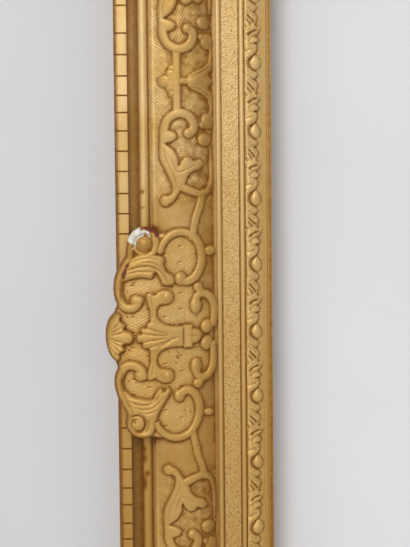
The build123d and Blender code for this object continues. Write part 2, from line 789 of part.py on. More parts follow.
# Mouldings, strips and leaf bands, one length for the uprights and one for the cross rails
for pair, half in ((("left", "right"), OUTER_HEIGHT / 2), (("top", "bottom"), OUTER_WIDTH / 2)):
    lengths = {
        "edge_strip": notched_strip(half),
        "frame_moulding": mitred(main_moulding_section(), half),
        "sight_moulding": mitred(sight_moulding_section(), half),
        "leaf_band": leaf_band(half),
    }
    for side in pair:
        for name, length in lengths.items():
            with BuildPart() as moulding:
                with Locations(SIDES[side][0]):
                    add(length)
            moulding.part.label = f"{name}_{side}"
            export_step(moulding.part, f"parts/{name}_{side}.step")

# Scroll runs, two to a rail, either side of its cartouche
for pair, half in ((("left", "right"), OUTER_HEIGHT / 2), (("top", "bottom"), OUTER_WIDTH / 2)):
    run = half - CARTOUCHE_HALF - CORNER_LEG
    pressing = scroll_run(run)
    for side in pair:
        for end, sign in zip(RUN_ENDS[side], (1, -1)):
            middle = Location((0, sign * (CARTOUCHE_HALF + run / 2), 0))
            with BuildPart() as run_piece:
                with Locations(SIDES[side][0].location * middle):
                    add(pressing)
            run_piece.part.label = f"scroll_run_{side}_{end}"
            export_step(run_piece.part, f"parts/scroll_run_{side}_{end}.step")

# Cartouches from one mould for the centres and one for the corners
centre_casting = centre_cartouche()
corner_casting = corner_cartouche()
for side, (plane, half) in SIDES.items():
    with BuildPart() as centre_piece:
        with Locations(plane):
            add(centre_casting)
    centre_piece.part.label = f"centre_cartouche_{side}"
    export_step(centre_piece.part, f"parts/centre_cartouche_{side}.step")
    corner = CORNER_OF_SIDE[side]
    with BuildPart() as corner_piece:
        with Locations(plane.location * Location((0, half, 0))):
            add(corner_casting)
    corner_piece.part.label = f"corner_cartouche_{corner}"
    export_step(corner_piece.part, f"parts/corner_cartouche_{corner}.step")

# Turn buttons, hanging from their screws
for name, (x, z) in BUTTONS.items():
    tip = BUTTON_LENGTH - BUTTON_ROOT_RADIUS - BUTTON_TIP_RADIUS
    with BuildPart() as turn_button:
        with BuildSketch(back_plane(x, z).offset(LIFT)):
            Circle(BUTTON_ROOT_RADIUS)
            with Locations((0, -tip)):
                Circle(BUTTON_TIP_RADIUS)
            make_hull()
            Circle(SCREW_RADIUS + RUNNING_CLEARANCE, mode=Mode.SUBTRACT)
        extrude(amount=BUTTON_THICKNESS)
    turn_button.part.label = f"turn_button_{name}"
    export_step(turn_button.part, f"parts/turn_button_{name}.step")

button_screw = screw(BUTTON_SEAT)
with BuildPart() as button_screws:
    with Locations(*BUTTON_SCREWS):
        add(button_screw)
button_screws.part.label = "button_screws"
export_step(button_screws.part, "parts/button_screws.step")

# Ring hangers: a strap rolled round the straight side of a wire ring
for name, (x, z) in HANGERS.items():
    back = back_plane(x, z)
    side_view = Plane(origin=back.origin, x_dir=back.y_dir, z_dir=back.x_dir)
    with BuildPart() as hanger_plate:
        with BuildSketch(back):
            with Locations((0, -PLATE_LENGTH / 2)):
                Rectangle(PLATE_WIDTH, PLATE_LENGTH)
            with Locations((0, -PLATE_FIRST_SCREW), (0, -PLATE_SECOND_SCREW)):
                Circle(SCREW_RADIUS + PILOT_CLEARANCE, mode=Mode.SUBTRACT)
        extrude(amount=PLATE_THICKNESS)
        with BuildSketch(side_view):
            with Locations((0, KNUCKLE_AXIS)):
                Circle(KNUCKLE_RADIUS)
        extrude(amount=PLATE_WIDTH / 2, both=True)
        with BuildSketch(side_view):
            with Locations((0, KNUCKLE_AXIS)):
                Circle(KNUCKLE_BORE)
        extrude(amount=PLATE_WIDTH / 2, both=True, mode=Mode.SUBTRACT)
    hanger_plate.part.label = f"hanger_plate_{name}"
    export_step(hanger_plate.part, f"parts/hanger_plate_{name}.step")

    ring_plane = back.offset(KNUCKLE_AXIS)
    middle_plane = Plane(origin=ring_plane.origin, x_dir=ring_plane.y_dir, z_dir=ring_plane.x_dir)
    with BuildPart() as hanger_ring:
        with BuildLine(ring_plane) as half_ring:
            bar = Line((0, 0), (RING_HALF_WIDTH - RING_BEND, 0))
            bend = JernArc(bar @ 1, bar % 1, RING_BEND, -90)
            shank = Line(bend @ 1, (RING_HALF_WIDTH, -RING_DROP))
            JernArc(shank @ 1, shank % 1, RING_HALF_WIDTH, -90)
        with BuildSketch(middle_plane):
            Circle(WIRE_RADIUS)
        sweep(path=half_ring.wires()[0])
        mirror(about=middle_plane)
    hanger_ring.part.label = f"hanger_ring_{name}"
    export_step(hanger_ring.part, f"parts/hanger_ring_{name}.step")

hanger_screw = screw(PLATE_THICKNESS)
with BuildPart() as hanger_screws:
    with Locations(*HANGER_SCREWS):
        add(hanger_screw)
hanger_screws.part.label = "hanger_screws"
export_step(hanger_screws.part, "parts/hanger_screws.step")
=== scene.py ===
"""Gilded picture frame: pressed relief, mouldings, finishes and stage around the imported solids."""

import math

import bpy
import numpy as np
from bpy.props import FloatProperty, FloatVectorProperty, PointerProperty
from mathutils import Matrix, Vector


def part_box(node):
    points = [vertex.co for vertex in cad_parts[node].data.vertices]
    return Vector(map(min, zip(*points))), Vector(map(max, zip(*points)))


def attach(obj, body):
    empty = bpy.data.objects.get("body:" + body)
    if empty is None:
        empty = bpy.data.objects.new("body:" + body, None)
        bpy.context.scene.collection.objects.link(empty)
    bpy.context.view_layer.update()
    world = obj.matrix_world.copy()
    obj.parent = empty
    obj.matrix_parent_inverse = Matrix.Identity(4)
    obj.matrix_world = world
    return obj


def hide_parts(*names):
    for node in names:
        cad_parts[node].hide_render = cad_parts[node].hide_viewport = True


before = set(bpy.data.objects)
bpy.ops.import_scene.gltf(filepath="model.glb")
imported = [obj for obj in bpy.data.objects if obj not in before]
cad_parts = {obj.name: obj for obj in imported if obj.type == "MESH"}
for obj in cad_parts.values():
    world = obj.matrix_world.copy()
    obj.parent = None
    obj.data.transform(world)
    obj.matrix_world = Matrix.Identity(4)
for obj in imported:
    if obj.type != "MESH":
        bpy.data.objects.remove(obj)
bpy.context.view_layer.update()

bl_info = {
    "name": "Gilded picture frame",
    "version": (1, 0, 0),
    "blender": (4, 5, 0),
    "location": "View3D > Sidebar > Gilded frame",
    "description": "Dresses the solids of an ornate gilded picture frame",
    "category": "Object",
}

MM = 0.001
TINY = 1e-6
SHARP_ANGLE = math.radians(38)

# Overall sizes in millimetres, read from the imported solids
HALF_WIDTH = -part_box("edge_strip_left")[0].x / MM
HALF_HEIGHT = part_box("edge_strip_top")[1].z / MM
HALF = {"left": HALF_HEIGHT, "right": HALF_HEIGHT, "top": HALF_WIDTH, "bottom": HALF_WIDTH}

# Places across the rail, from the outer edge to the opening, and heights above the back
STRIP_END = 8.4
STRIP_BACK = 5.0
STRIP_FRONT = 33.0
STRIP_ROUNDING = 1.4
STRIP_SWELL = 2.2
HOLLOW_END = 17.6
HOLLOW_FLOOR = 25.0
HOLLOW_MIDDLE = (13.92, 26.38)
BEAD_END = 24.2
BEAD_HEIGHT = 33.2
QUIRK_FLOOR = 31.6
FRIEZE_START = 26.3
FRIEZE_CROWN = 46.3
FRIEZE_END = 74.0
FRIEZE_OUTER = 33.5
FRIEZE_TOP = 39.5
FRIEZE_INNER = 28.5
GROUND = 1.0
INNER_QUIRK = 27.9
BOARD = 20.0
SIGHT_START = 75.25
SAND_BEAD = (76.5, 80.5)
SAND = (81.5, 94.0)
SAND_HEIGHT = 28.3
LEAF_BEAD = (95.0, 98.5)
LEAF_BED = (99.0, 113.0)
LEAF_BED_HEIGHT = (27.0, 23.6)
FILLET_HEIGHT = 27.9
LEAF_PITCH = 52.1
LEAF_SHIFT = 2.0
LEAF_GAP = 0.25
LEAF_SHEET = 0.6
LIP_END = 116.0
LIP_MIDDLE = (114.6, 23.32)
LIP_HEIGHT = 23.0
RIM_START = 118.5
RIM_END = 120.0
RIM_HEIGHT = 22.0
RIB_PITCH = 1.5
CARTOUCHE_HALF = 86.0
CORNER_LEG = 130.0
OVERHANG_END = 76.2
CAST_START = -14.0
CAST_END = 78.0
FILM = 0.3
LEAST_WALL = 0.05

# Curves across the rail, each an arc through three points
HOLLOW = ((STRIP_END, HOLLOW_FLOOR), HOLLOW_MIDDLE, (HOLLOW_END, BEAD_HEIGHT))
FRIEZE = ((FRIEZE_START, FRIEZE_OUTER), (FRIEZE_CROWN, FRIEZE_TOP), (FRIEZE_END, FRIEZE_INNER))
CROWN = ((OVERHANG_END, 29.5), (24.2, 43.0), (-16.8, 36.0))
LIP = ((LEAF_BED[1], LEAF_BED_HEIGHT[1]), LIP_MIDDLE, (LIP_END, LIP_HEIGHT))

# Low lip along the frieze's outer edge: its place from that edge, its width and its rise
FRIEZE_LIP = (1.7, 1.2, 0.5)

# Saw cuts across the outer strips, from the rail's middle: those seen on the left strip, and the others' spread
SEEN_CUTS = (
    254.7, 233.6, 217.2, 200.9, 186.0, 172.8, 158.7, 143.1, 127.5, 110.4, 94.8, 79.2,
    -72.9, -89.3, -105.7, -120.5, -133.8, -148.6, -161.1,
)
FIRST_CUT = 8.0
CUT_PITCH = 15.8
CUT_SPREAD = 1.8
CUT_HALF = 0.72
CUT_DEPTH = 0.85
UNCUT_END = 26.0
MITRE_END = 10.0

# Worn places on the left bead: middle along the rail, reach, rise, darkness and place across the rail
BEAD_WEAR = (
    (229.0, 7.0, 0.5, 0.0, 20.9),
    (111.5, 1.2, -1.2, 1.0, 19.2),
    (99.0, 0.7, -0.4, 0.8, 19.2),
    (-89.0, 2.4, -0.9, 0.9, 18.4),
    (-96.5, 3.2, -0.8, 0.7, 18.8),
    (-109.0, 2.2, -1.8, 1.0, 20.6),
    (-116.5, 4.2, -1.0, 1.0, 18.2),
)
WEAR_WIDTH = 1.9

# How far hand pressing sways the lines of a relief, and how near its ends the sway dies away
SWAY = 0.45
END_FADE = 8.0

# Start and reach of the richer gold towards the opening
RICH_SIDE = (46.0, 24.0)

# Seeds of the unevenness of each kind of piece
SEEDS = {
    "cuts": 31,
    "strip": 5,
    "moulding": 41,
    "sight": 57,
    "leaf": 71,
    "run": 83,
    "centre_left": 101,
    "centre": 111,
    "corner": 121,
}

# Looks of the gilding on each kind of surface: the range of its pale patches, what is left of them low on the
# frame as painted shade, the painted shade that darkens the frame towards the bottom, how much of that painted
# shade stays on richer gold, and the bumps' height in metres
GILT_KINDS = {
    "relief": {"pale": (0.1, 0.9), "fading_pale_low": 0.45, "painted_low_shade": 0.1, "painted_shade_on_rich": 0.3, "bump": 0.00012},
    "sight": {"pale": (0.75, 1.0), "fading_pale_low": 0.25, "painted_low_shade": 0.3, "painted_shade_on_rich": 0.6, "bump": 0.0004},
    "leaf": {"pale": (0.75, 1.0), "fading_pale_low": 0.4, "painted_low_shade": 0.12, "painted_shade_on_rich": 0.3, "bump": 0.0004},
    "plain": {"pale": (0.3, 1.0), "fading_pale_low": 0.1, "painted_low_shade": 0.46, "painted_shade_on_rich": 0.3, "bump": 0.00012},
    "sand": {"pale": (0.6, 1.0), "fading_pale_low": 0.45, "painted_low_shade": 0.2, "painted_shade_on_rich": 0.3, "bump": 0.00055},
}
SOILED_GESSO = (0.55, 0.5, 0.42, 1.0)
WOOD_STAIN = (0.09, 0.05, 0.025, 1.0)
GRAIN_STRETCH = 0.06

# Stage in metres: its half width, the wall's top and place behind the fittings, and the floor's level
STAGE_HALF = 4.0
WALL_TOP = 3.0
WALL_BACK = 0.008
FLOOR_LEVEL = -0.8

# Middle of the view, in millimetres across the left rail and metres back and up, and its height in metres
VIEW_MIDDLE = (67.2, -0.03, 0.0476)
VIEW_HEIGHT = 0.4267

# Names of a rail's two runs, the far end of its own axis first
RUN_ENDS = {
    "left": ("upper", "lower"),
    "right": ("lower", "upper"),
    "top": ("right", "left"),
    "bottom": ("left", "right"),
}
CORNER_OF_SIDE = {
    "left": "top_left",
    "top": "top_right",
    "right": "bottom_right",
    "bottom": "bottom_left",
}

# Lines of a cartouche's two arms, across the rail and along it from the cartouche's middle
UPPER_ARM = {
    "scroll": [
        (16.6, 28.4), (13.4, 23.6), (8.4, 22.0), (3.6, 24.0), (0.8, 29.4), (-0.2, 36), (0.8, 44),
        (4.2, 52), (8.6, 59),
    ],
    "volute": [
        (9.2, 60), (9.6, 68), (11.6, 76), (16, 80.6), (21, 81.6), (26.4, 79), (29.2, 73), (28.4, 67),
        (25, 63),
    ],
    "eye": ((20.4, 71.2), (5.8, 5.8)),
    "eye_share": 1.2,
    "coil": (),
    "pit": ((25.2, 66.4), 1.4, 0.9),
    "leaf": (
        [
            (4.0, 42), (2.0, 47.5), (5.0, 54), (10, 60), (16, 63.6), (23, 64.6), (29.7, 63.6),
            (35, 61.8), (36.6, 58.6),
        ],
        [
            (36.6, 58.6), (35.8, 55.4), (37.8, 50.4), (42.2, 47.6), (44.4, 43.2), (42.6, 40.0),
            (38, 39.2), (34.2, 40.2),
        ],
        [(34.2, 40.2), (32.4, 44.6), (29.2, 49.6), (26.0, 45.0), (18, 45.8), (10.6, 44.4), (4.0, 42)],
    ),
    "folds": (
        ([(6, 50.4), (12, 53), (19.6, 54.6), (26, 54.4), (32, 51.4), (36.4, 47), (39, 42.6)], 0.8, 1.0),
        ([(8, 48.6), (16, 50.4), (23.5, 50.2), (29, 50.6)], 0.7, 0.7),
        ([(20, 57.4), (27, 57.2), (33, 54.2), (37, 50.2)], 0.7, 0.6),
        ([(11, 57), (18, 60), (26, 60.6), (33, 58.6)], 0.9, 0.4),
    ),
    "ring": [
        (48, 44), (53.4, 42.4), (59.2, 45.4), (63.4, 52.4), (64.8, 61.4), (62.6, 70.6), (57, 77.6),
        (48.6, 80.2), (40.6, 78), (35.2, 72.4), (32.6, 66),
    ],
    "knobs": (
        ((13.8, 27.6), (4.8, 5.2), 1.15), ((48.4, 44.6), (4.8, 5.4), 1.0), ((71.0, 65.2), (4.2, 3.7), 0.6),
        ((61.6, 37.6), (3.6, 3.8), 0.95),
    ),
}
LOWER_ARM = {
    "scroll": [
        (19.0, 30.5), (16.6, 25.0), (10.6, 22.2), (4.8, 23.2), (0.8, 28.6), (-0.6, 35), (0.8, 43),
        (4.6, 51), (9.0, 59),
    ],
    "volute": [
        (9.4, 59), (7.8, 64), (8.2, 70), (12, 75), (17.5, 76.6), (23, 74.4), (25.2, 68), (25.0, 60),
    ],
    "eye": ((13.6, 67.6), (6.2, 6.4)),
    "eye_share": 1.05,
    "coil": [
        (18.4, 62.6), (20.0, 68.0), (17.0, 72.8), (12.2, 73.0), (9.2, 69.4), (10.4, 65.2), (14.2, 64.8),
        (15.2, 68.0),
    ],
    "pit": ((11.8, 66.4), 1.3, 1.8),
    "leaf": (
        [
            (3.0, 40), (2.4, 47), (6.6, 55.4), (11, 61.5), (17, 61.0), (22, 66), (28.6, 66), (30.6, 60),
            (34.2, 53.6),
        ],
        [
            (34.2, 53.6), (38.4, 46.6), (40.4, 41.6), (37.6, 39.0), (35.0, 42.4), (32.6, 39.6),
            (29.6, 41.6), (27.6, 45),
        ],
        [(27.6, 45), (25.4, 48.6), (16.8, 47.6), (10.8, 46.4), (6.6, 43.2), (3.0, 40)],
    ),
    "folds": (
        ([(8, 50), (15, 52.4), (23, 52.2), (29, 48.4), (32, 43)], 0.8, 0.9),
        ([(12, 54.6), (19, 56.4), (27, 54.4), (33, 48.6)], 0.8, 0.7),
        ([(15, 58.4), (22, 59.6), (29, 57)], 0.8, 0.5),
    ),
    "ring": [
        (46.8, 45.8), (52, 42), (57.6, 44.2), (61.2, 51), (61.8, 60), (59, 69.4), (53.6, 76.2),
        (45.4, 79.2), (37, 77.2), (31, 72), (28.6, 67),
    ],
    "knobs": (
        ((16.6, 29.6), (4.8, 5.2), 1.15), ((46.6, 46.2), (4.4, 5.0), 1.0), ((69.2, 60.0), (3.8, 3.0), 0.6),
        ((60.8, 37.0), (3.6, 4.0), 0.95),
    ),
}

# Edge of one leaf of the pressed band, along the rail from its bud and across the rail
LEAF_EDGE = (
    (-26.0, 110.4), (-24.0, 110.8), (-21.8, 109.4), (-20.6, 108.4), (-18.8, 110.0), (-16.8, 110.5),
    (-15.4, 107.4), (-13.8, 109.0), (-11.0, 109.3), (-8.4, 108.4), (-6.6, 107.2), (-4.8, 104.6),
    (-3.5, 102.9), (-1.0, 102.1), (1.5, 102.1), (4.0, 103.2), (5.8, 105.2), (7.0, 107.6), (8.6, 109.3),
    (10.8, 108.9), (13.0, 106.6), (14.6, 108.4), (16.5, 109.4), (18.4, 109.6), (20.2, 108.6),
    (22.6, 108.2), (26.0, 110.4),
)

# Slits of one leaf: the line across the rail and along it from the bud, its width and its depth
LEAF_SLITS = (
    ([(101.4, 14.8), (104.4, 17.8), (107.4, 21.4)], 1.0, 2.2),
    ([(101.0, 18.4), (103.0, 20.4), (105.0, 23.0)], 0.8, 1.7),
    ([(101.6, -21.4), (105.4, -24.0), (109.6, -26.0)], 1.1, 2.2),
    ([(99.6, -8.2), (104.0, -10.6), (107.6, -11.6)], 1.2, 1.1),
    ([(101.4, -12.4), (104.4, -14.4), (107.8, -15.6)], 1.8, 0.45),
    ([(102.0, -16.6), (105.0, -19.6), (109.4, -22.6)], 1.6, 1.15),
    ([(101.2, 6.2), (104.4, 7.8), (108.4, 8.6)], 0.8, 0.8),
    ([(101.2, 9.4), (104.0, 11.0), (107.0, 12.6)], 1.1, 1.0),
    ([(101.2, 12.0), (104.6, 14.4), (108.6, 16.6)], 0.8, 0.9),
)


class GiltFinish(bpy.types.PropertyGroup):
    """Colours and gloss of the gilding"""

    gold: FloatVectorProperty(
        name="Gold", description="Leaf on plain surfaces", subtype="COLOR",
        default=(0.575, 0.343, 0.083),
    )
    pale_gold: FloatVectorProperty(
        name="Pale gold", description="Rubbed and lighter patches", subtype="COLOR",
        default=(0.735, 0.53, 0.245),
    )
    # The toning colour is brown glaze and also the painted shade that the tone field lays in hollows, creases
    # and shaded sides.
    toning: FloatVectorProperty(
        name="Toning", description="Brown glaze left in the hollows", subtype="COLOR",
        default=(0.245, 0.1, 0.016),
    )
    bole: FloatVectorProperty(
        name="Bole", description="Red clay under the leaf", subtype="COLOR",
        default=(0.16, 0.04, 0.022),
    )
    gesso: FloatVectorProperty(
        name="Gesso", description="White ground under the clay", subtype="COLOR",
        default=(0.8, 0.78, 0.73),
    )
    metal: FloatProperty(
        name="Metal", description="How metallic the leaf is", default=0.5, min=0.0, max=1.0
    )
    roughness: FloatProperty(
        name="Roughness", description="Of clean leaf", default=0.5, min=0.0, max=1.0
    )


class BackFinish(bpy.types.PropertyGroup):
    """Colours of the bare timber and the fittings"""

    pale_wood: FloatVectorProperty(
        name="Pale wood", description="Early wood of the boards", subtype="COLOR",
        default=(0.42, 0.26, 0.13),
    )
    dark_wood: FloatVectorProperty(
        name="Dark wood", description="Late wood of the boards", subtype="COLOR",
        default=(0.24, 0.125, 0.052),
    )
    brass: FloatVectorProperty(
        name="Brass", description="Clean brass", subtype="COLOR", default=(0.66, 0.46, 0.17)
    )
    tarnish: FloatVectorProperty(
        name="Tarnish", description="Dulled brass", subtype="COLOR", default=(0.2, 0.12, 0.045)
    )


class ReliefSizes(bpy.types.PropertyGroup):
    """Heights of the pressed ornament and the spacing of its mesh, in millimetres"""

    fine_step: FloatProperty(
        name="Fine step", description="Mesh spacing on the left rail", default=0.45, min=0.2
    )
    coarse_step: FloatProperty(
        name="Coarse step", description="Mesh spacing elsewhere", default=0.7, min=0.3
    )
    run_height: FloatProperty(
        name="Run relief", description="Scrolls above the frieze", default=2.7, min=0.5
    )
    scroll_height: FloatProperty(
        name="Scroll relief", description="Scrolls on cartouches", default=3.4, min=0.5
    )
    shell_height: FloatProperty(
        name="Shell relief", description="Shell above its panel", default=5.4, min=0.5
    )
    leaf_height: FloatProperty(
        name="Leaf relief", description="Leaves above their bed", default=3.4, min=0.5
    )


class StageSettings(bpy.types.PropertyGroup):
    """Wall, floor, light and camera"""

    wall: FloatVectorProperty(
        name="Wall", description="Wall behind the frame", subtype="COLOR", default=(0.655, 0.66, 0.672)
    )
    floor: FloatVectorProperty(
        name="Floor", description="Floor", subtype="COLOR", default=(0.72, 0.71, 0.69)
    )
    sky: FloatProperty(
        name="Sky", description="Strength of the light from above", default=0.72, min=0.0
    )
    ground: FloatProperty(
        name="Ground", description="Strength of the light from below", default=0.18, min=0.0
    )
    key: FloatProperty(
        name="Key", description="Soft lamp at the upper left", default=65.0, min=0.0, unit="POWER"
    )
    fill: FloatProperty(
        name="Fill", description="Lamp behind the frame", default=14.0, min=0.0, unit="POWER"
    )
    distance: FloatProperty(
        name="Distance", description="Camera to frame", default=1.0, min=0.1, unit="LENGTH"
    )
    tilt: FloatProperty(
        name="Tilt", description="Camera above level", default=math.radians(3.5), unit="ROTATION"
    )
    roll: FloatProperty(
        name="Roll", description="Camera turned on its axis", default=math.radians(-0.56), unit="ROTATION"
    )


def ramp(values, start, reach):
    """Nothing up to the start, then evenly up to one over the reach."""
    return np.clip((values - start) / reach, 0, 1)


def soft_peak(away, width):
    """One at a place, falling softly to nothing around it."""
    return np.exp(-((away / width) ** 2))


def arc_height(across, points):
    """Height of the circle through three points, at places across the rail."""
    (x1, y1), (x2, y2), (x3, y3) = points
    turn = 2 * (x1 * (y2 - y3) + x2 * (y3 - y1) + x3 * (y1 - y2))
    s1, s2, s3 = x1 * x1 + y1 * y1, x2 * x2 + y2 * y2, x3 * x3 + y3 * y3
    middle_x = (s1 * (y2 - y3) + s2 * (y3 - y1) + s3 * (y1 - y2)) / turn
    middle_y = (s1 * (x3 - x2) + s2 * (x1 - x3) + s3 * (x2 - x1)) / turn
    radius = math.hypot(x1 - middle_x, y1 - middle_y)
    side = 1.0 if y2 > middle_y else -1.0
    return middle_y + side * np.sqrt(np.maximum(radius**2 - (across - middle_x) ** 2, 0.0))


def frieze_height(across):
    """Finished ground of the cushion frieze."""
    return arc_height(np.clip(across, FRIEZE_START, FRIEZE_END), FRIEZE)


def ground_height(across):
    """Face of the pressed ground on the frieze, with the low lip along its outer edge."""
    place, width, rise = FRIEZE_LIP
    return frieze_height(across) + rise * soft_peak(across - FRIEZE_START - place, width)


def crown_height(across):
    """Domed panel under the cartouches."""
    return arc_height(np.clip(across, CROWN[2][0], CROWN[0][0]), CROWN)


def seat_height(across):
    """What a cartouche rests on, from past the strip to the sight moulding."""
    radius = (BEAD_END - HOLLOW_END) / 2
    bead = BEAD_HEIGHT + np.sqrt(np.maximum(radius**2 - (across - HOLLOW_END - radius) ** 2, 0.0))
    height = np.where(across < HOLLOW_END, STRIP_FRONT, bead)
    return np.where(across < FRIEZE_START, height, frieze_height(across) - GROUND)


def rail_height(across):
    """Visible surface of the plain rail, for the toning around an ornament."""
    hollow = arc_height(np.clip(across, STRIP_END, HOLLOW_END), HOLLOW)
    height = np.where(across < STRIP_END, STRIP_FRONT, hollow)
    height = np.where(across < 0, STRIP_BACK, height)
    height = np.where(across > HOLLOW_END, seat_height(across), height)
    return np.where(across > FRIEZE_START, frieze_height(across), height)


def smooth_line(points, each=9):
    """A smooth line through the drawn points."""
    drawn = np.array(points, float)
    ends = np.vstack([2 * drawn[0] - drawn[1], drawn, 2 * drawn[-1] - drawn[-2]])
    share = np.linspace(0, 1, each, endpoint=False)[:, None]
    runs = []
    for a, b, c, d in zip(ends, ends[1:], ends[2:], ends[3:]):
        cubic = (3 * (b - c) + d - a) * share**3
        runs.append(b + 0.5 * ((c - a) * share + (2 * a - 5 * b + 4 * c - d) * share**2 + cubic))
    return np.vstack(runs + [drawn[-1:]])


def line_distance(u, t, line):
    """Distance of each place from a line, and the share of the line's length at the nearest point."""
    steps = np.hypot(*np.diff(line, axis=0).T)
    starts = np.concatenate([[0.0], np.cumsum(steps)])
    nearest = np.full(u.shape, 1e9)
    share = np.zeros(u.shape)
    for (pu, pt), (qu, qt), begin, step in zip(line, line[1:], starts, steps):
        if step < TINY:
            continue
        du, dt = (qu - pu) / step, (qt - pt) / step
        along = np.clip((u - pu) * du + (t - pt) * dt, 0, step)
        distance = np.hypot(u - pu - along * du, t - pt - along * dt)
        closer = distance < nearest
        nearest = np.where(closer, distance, nearest)
        share = np.where(closer, (begin + along) / starts[-1], share)
    return nearest, share


def stroke_depth(u, t, points, width, end_width=None):
    """How deep each place lies inside a band along a smooth line."""
    distance, share = line_distance(u, t, smooth_line(points))
    last = width if end_width is None else end_width
    return (width + share * (last - width)) / 2 - distance


def outline_depth(u, t, line):
    """How deep each place lies inside a closed outline, negative outside."""
    closed = np.vstack([line, line[:1]])
    distance, _ = line_distance(u, t, closed)
    inside = np.zeros(u.shape, bool)
    for (pu, pt), (qu, qt) in zip(closed, closed[1:]):
        if abs(qt - pt) < TINY:
            continue
        crosses = (pt > t) != (qt > t)
        inside ^= crosses & (u < pu + (t - pt) * (qu - pu) / (qt - pt))
    return np.where(inside, distance, -distance)


def swell(depth, height, rounding):
    """A flat-topped rise with rounded edges."""
    share = np.clip(depth / rounding, 0, 1)
    return height * np.sqrt(1 - (1 - share) ** 2)


def dome(u, t, middle, radii, height):
    """A round boss."""
    away = ((u - middle[0]) / radii[0]) ** 2 + ((t - middle[1]) / radii[1]) ** 2
    return height * np.sqrt(np.clip(1 - away, 0, None))


def groove(u, t, points, width, depth):
    """A cut along a smooth line, fading at its ends."""
    distance, share = line_distance(u, t, smooth_line(points))
    return depth * soft_peak(distance, width) * np.clip(6 * share * (1 - share) + 0.25, 0, 1)


def blur(field, cells):
    """The field softened over a number of mesh cells."""
    margin = int(3 * cells) + 1
    wide = np.pad(field, margin, mode="reflect", reflect_type="odd")
    across = np.fft.fftfreq(wide.shape[0])[:, None]
    along = np.fft.rfftfreq(wide.shape[1])[None, :]
    soft = np.exp(-2 * (np.pi * cells) ** 2 * (across**2 + along**2))
    return np.fft.irfft2(np.fft.rfft2(wide) * soft, wide.shape)[margin:-margin, margin:-margin]


def mottle(shape, cells, seed):
    """Seeded unevenness of unit strength, cells wide."""
    field = blur(np.random.default_rng(seed).standard_normal(shape), cells)
    return (field - field.mean()) / field.std()


def slanted(u, t, pitch, angle, width):
    """Even lines that lean by an angle: one on a line, falling to nothing between."""
    across = (u * math.sin(angle) + t * math.cos(angle)) / pitch
    return soft_peak((across - np.round(across)) * pitch, width)


def cavity(top, step, reach, scale):
    """How far each place lies below its surroundings, from 0 to 1."""
    return ramp(blur(top, reach / step) - top, 0, scale)


def cover(relief):
    """Share of ornament over the ground, from 0 where it is bare to 1 on a relief."""
    return ramp(relief, 0, 0.5)


def glaze_and_shade_lines(face, step):
    """Thin brown lines round a relief: glaze left in its hollows, and painted shade where shadow falls beside
    it.
    """
    lines = 0.4 * cavity(face, step, 0.7, 0.3) + 0.46 * cavity(face, step, 1.8, 1.1)
    return lines + 0.32 * cavity(face, step, 3.6, 1.7)


def ground_glaze_and_shade(u, relief, smooth):
    """Brown glaze left on the bare frieze, heavier where it is smooth, and glaze with painted shade heavier
    towards the opening, where the frieze slopes away from the light.
    """
    return (1 - cover(relief)) * (0.05 + 0.31 * smooth + 0.13 * ramp(u, 48, 22))


def inner_glaze_and_shade(u, relief):
    """Brown glaze on the ornament, and brown glaze with painted shade that lies on ground and ornament alike
    towards the opening.
    """
    return 0.21 * cover(relief) + 0.05 * ramp(u, 54, 16)


def set_fields(mesh, fields):
    """Stores values on a mesh's points, for its material."""
    for field, values in fields.items():
        data = mesh.attributes.new(field, "FLOAT", "POINT").data
        data.foreach_set("value", np.ascontiguousarray(values, np.float32).ravel())


def cell_corners(field):
    """The four corners of every mesh cell, as views into a field."""
    return field[:-1, :-1], field[1:, :-1], field[1:, 1:], field[:-1, 1:]


def solid_from_relief(name, u, t, top, seat, depth, fields):
    """A closed solid whose face is a relief and whose outline is where depth is zero."""
    step_u, step_t = u[1, 0] - u[0, 0], t[0, 1] - t[0, 0]
    cells = np.logical_and.reduce(cell_corners(depth > -TINY))
    used = np.zeros(u.shape, bool)
    for corner in cell_corners(used):
        corner |= cells
    count = used.sum()
    number = -np.ones(u.shape, int)
    number[used] = np.arange(count)
    quads = np.stack([corner[cells] for corner in cell_corners(number)], axis=1)
    directed = np.concatenate([quads[:, [first, (first + 1) % 4]] for first in range(4)])
    keys = directed[:, 0] * count + directed[:, 1]
    back = directed[:, 1] * count + directed[:, 0]
    border = directed[~np.isin(keys, back)]
    rim = np.unique(border)
    spots = np.stack([u[used], t[used], top[used]], axis=1)
    slope_u, slope_t = np.gradient(depth, step_u, step_t)
    steep = np.maximum(np.hypot(slope_u, slope_t), TINY)
    move = np.stack([slope_u[used], slope_t[used]], axis=1) * (depth[used] / steep[used] ** 2)[:, None]
    spots[rim, :2] -= np.where(np.abs(move[rim]) < 2 * step_u, move[rim], 0)
    foot = {vertex: count + place for place, vertex in enumerate(rim)}
    feet = spots[rim].copy()
    feet[:, 2] = np.minimum(seat[used][rim], feet[:, 2] - LEAST_WALL)
    walls = [(b, a, foot[a], foot[b]) for a, b in border.tolist()]
    following = dict(border.tolist())
    loop = [int(border[0, 0])]
    while following[loop[-1]] != loop[0]:
        loop.append(following[loop[-1]])
    floor = [foot[vertex] for vertex in reversed(loop)]
    mesh = bpy.data.meshes.new(name)
    mesh.from_pydata((np.vstack([spots, feet]) * MM).tolist(), [], quads.tolist() + walls + [floor])
    mesh.shade_smooth()
    edges = np.zeros(2 * len(mesh.edges), np.int32)
    mesh.edges.foreach_get("vertices", edges)
    on_rim = np.zeros(len(mesh.vertices), bool)
    on_rim[rim] = True
    on_rim[count:] = True
    sharp = on_rim[edges.reshape(-1, 2)].all(axis=1)
    mesh.attributes.new("sharp_edge", "BOOLEAN", "EDGE").data.foreach_set("value", sharp)
    whole = {field: values[used] for field, values in fields.items()}
    set_fields(mesh, {field: np.concatenate([values, values[rim]]) for field, values in whole.items()})
    return mesh


def upright_stations(profile, half, stations):
    """Places along a rail for a profile that stands square to it and leans only at the two mitres."""
    along = np.repeat(np.array(stations, float)[:, None], len(profile), axis=1)
    reach = half - np.array(profile)[:, 0]
    along[0], along[-1] = -reach, reach
    return along


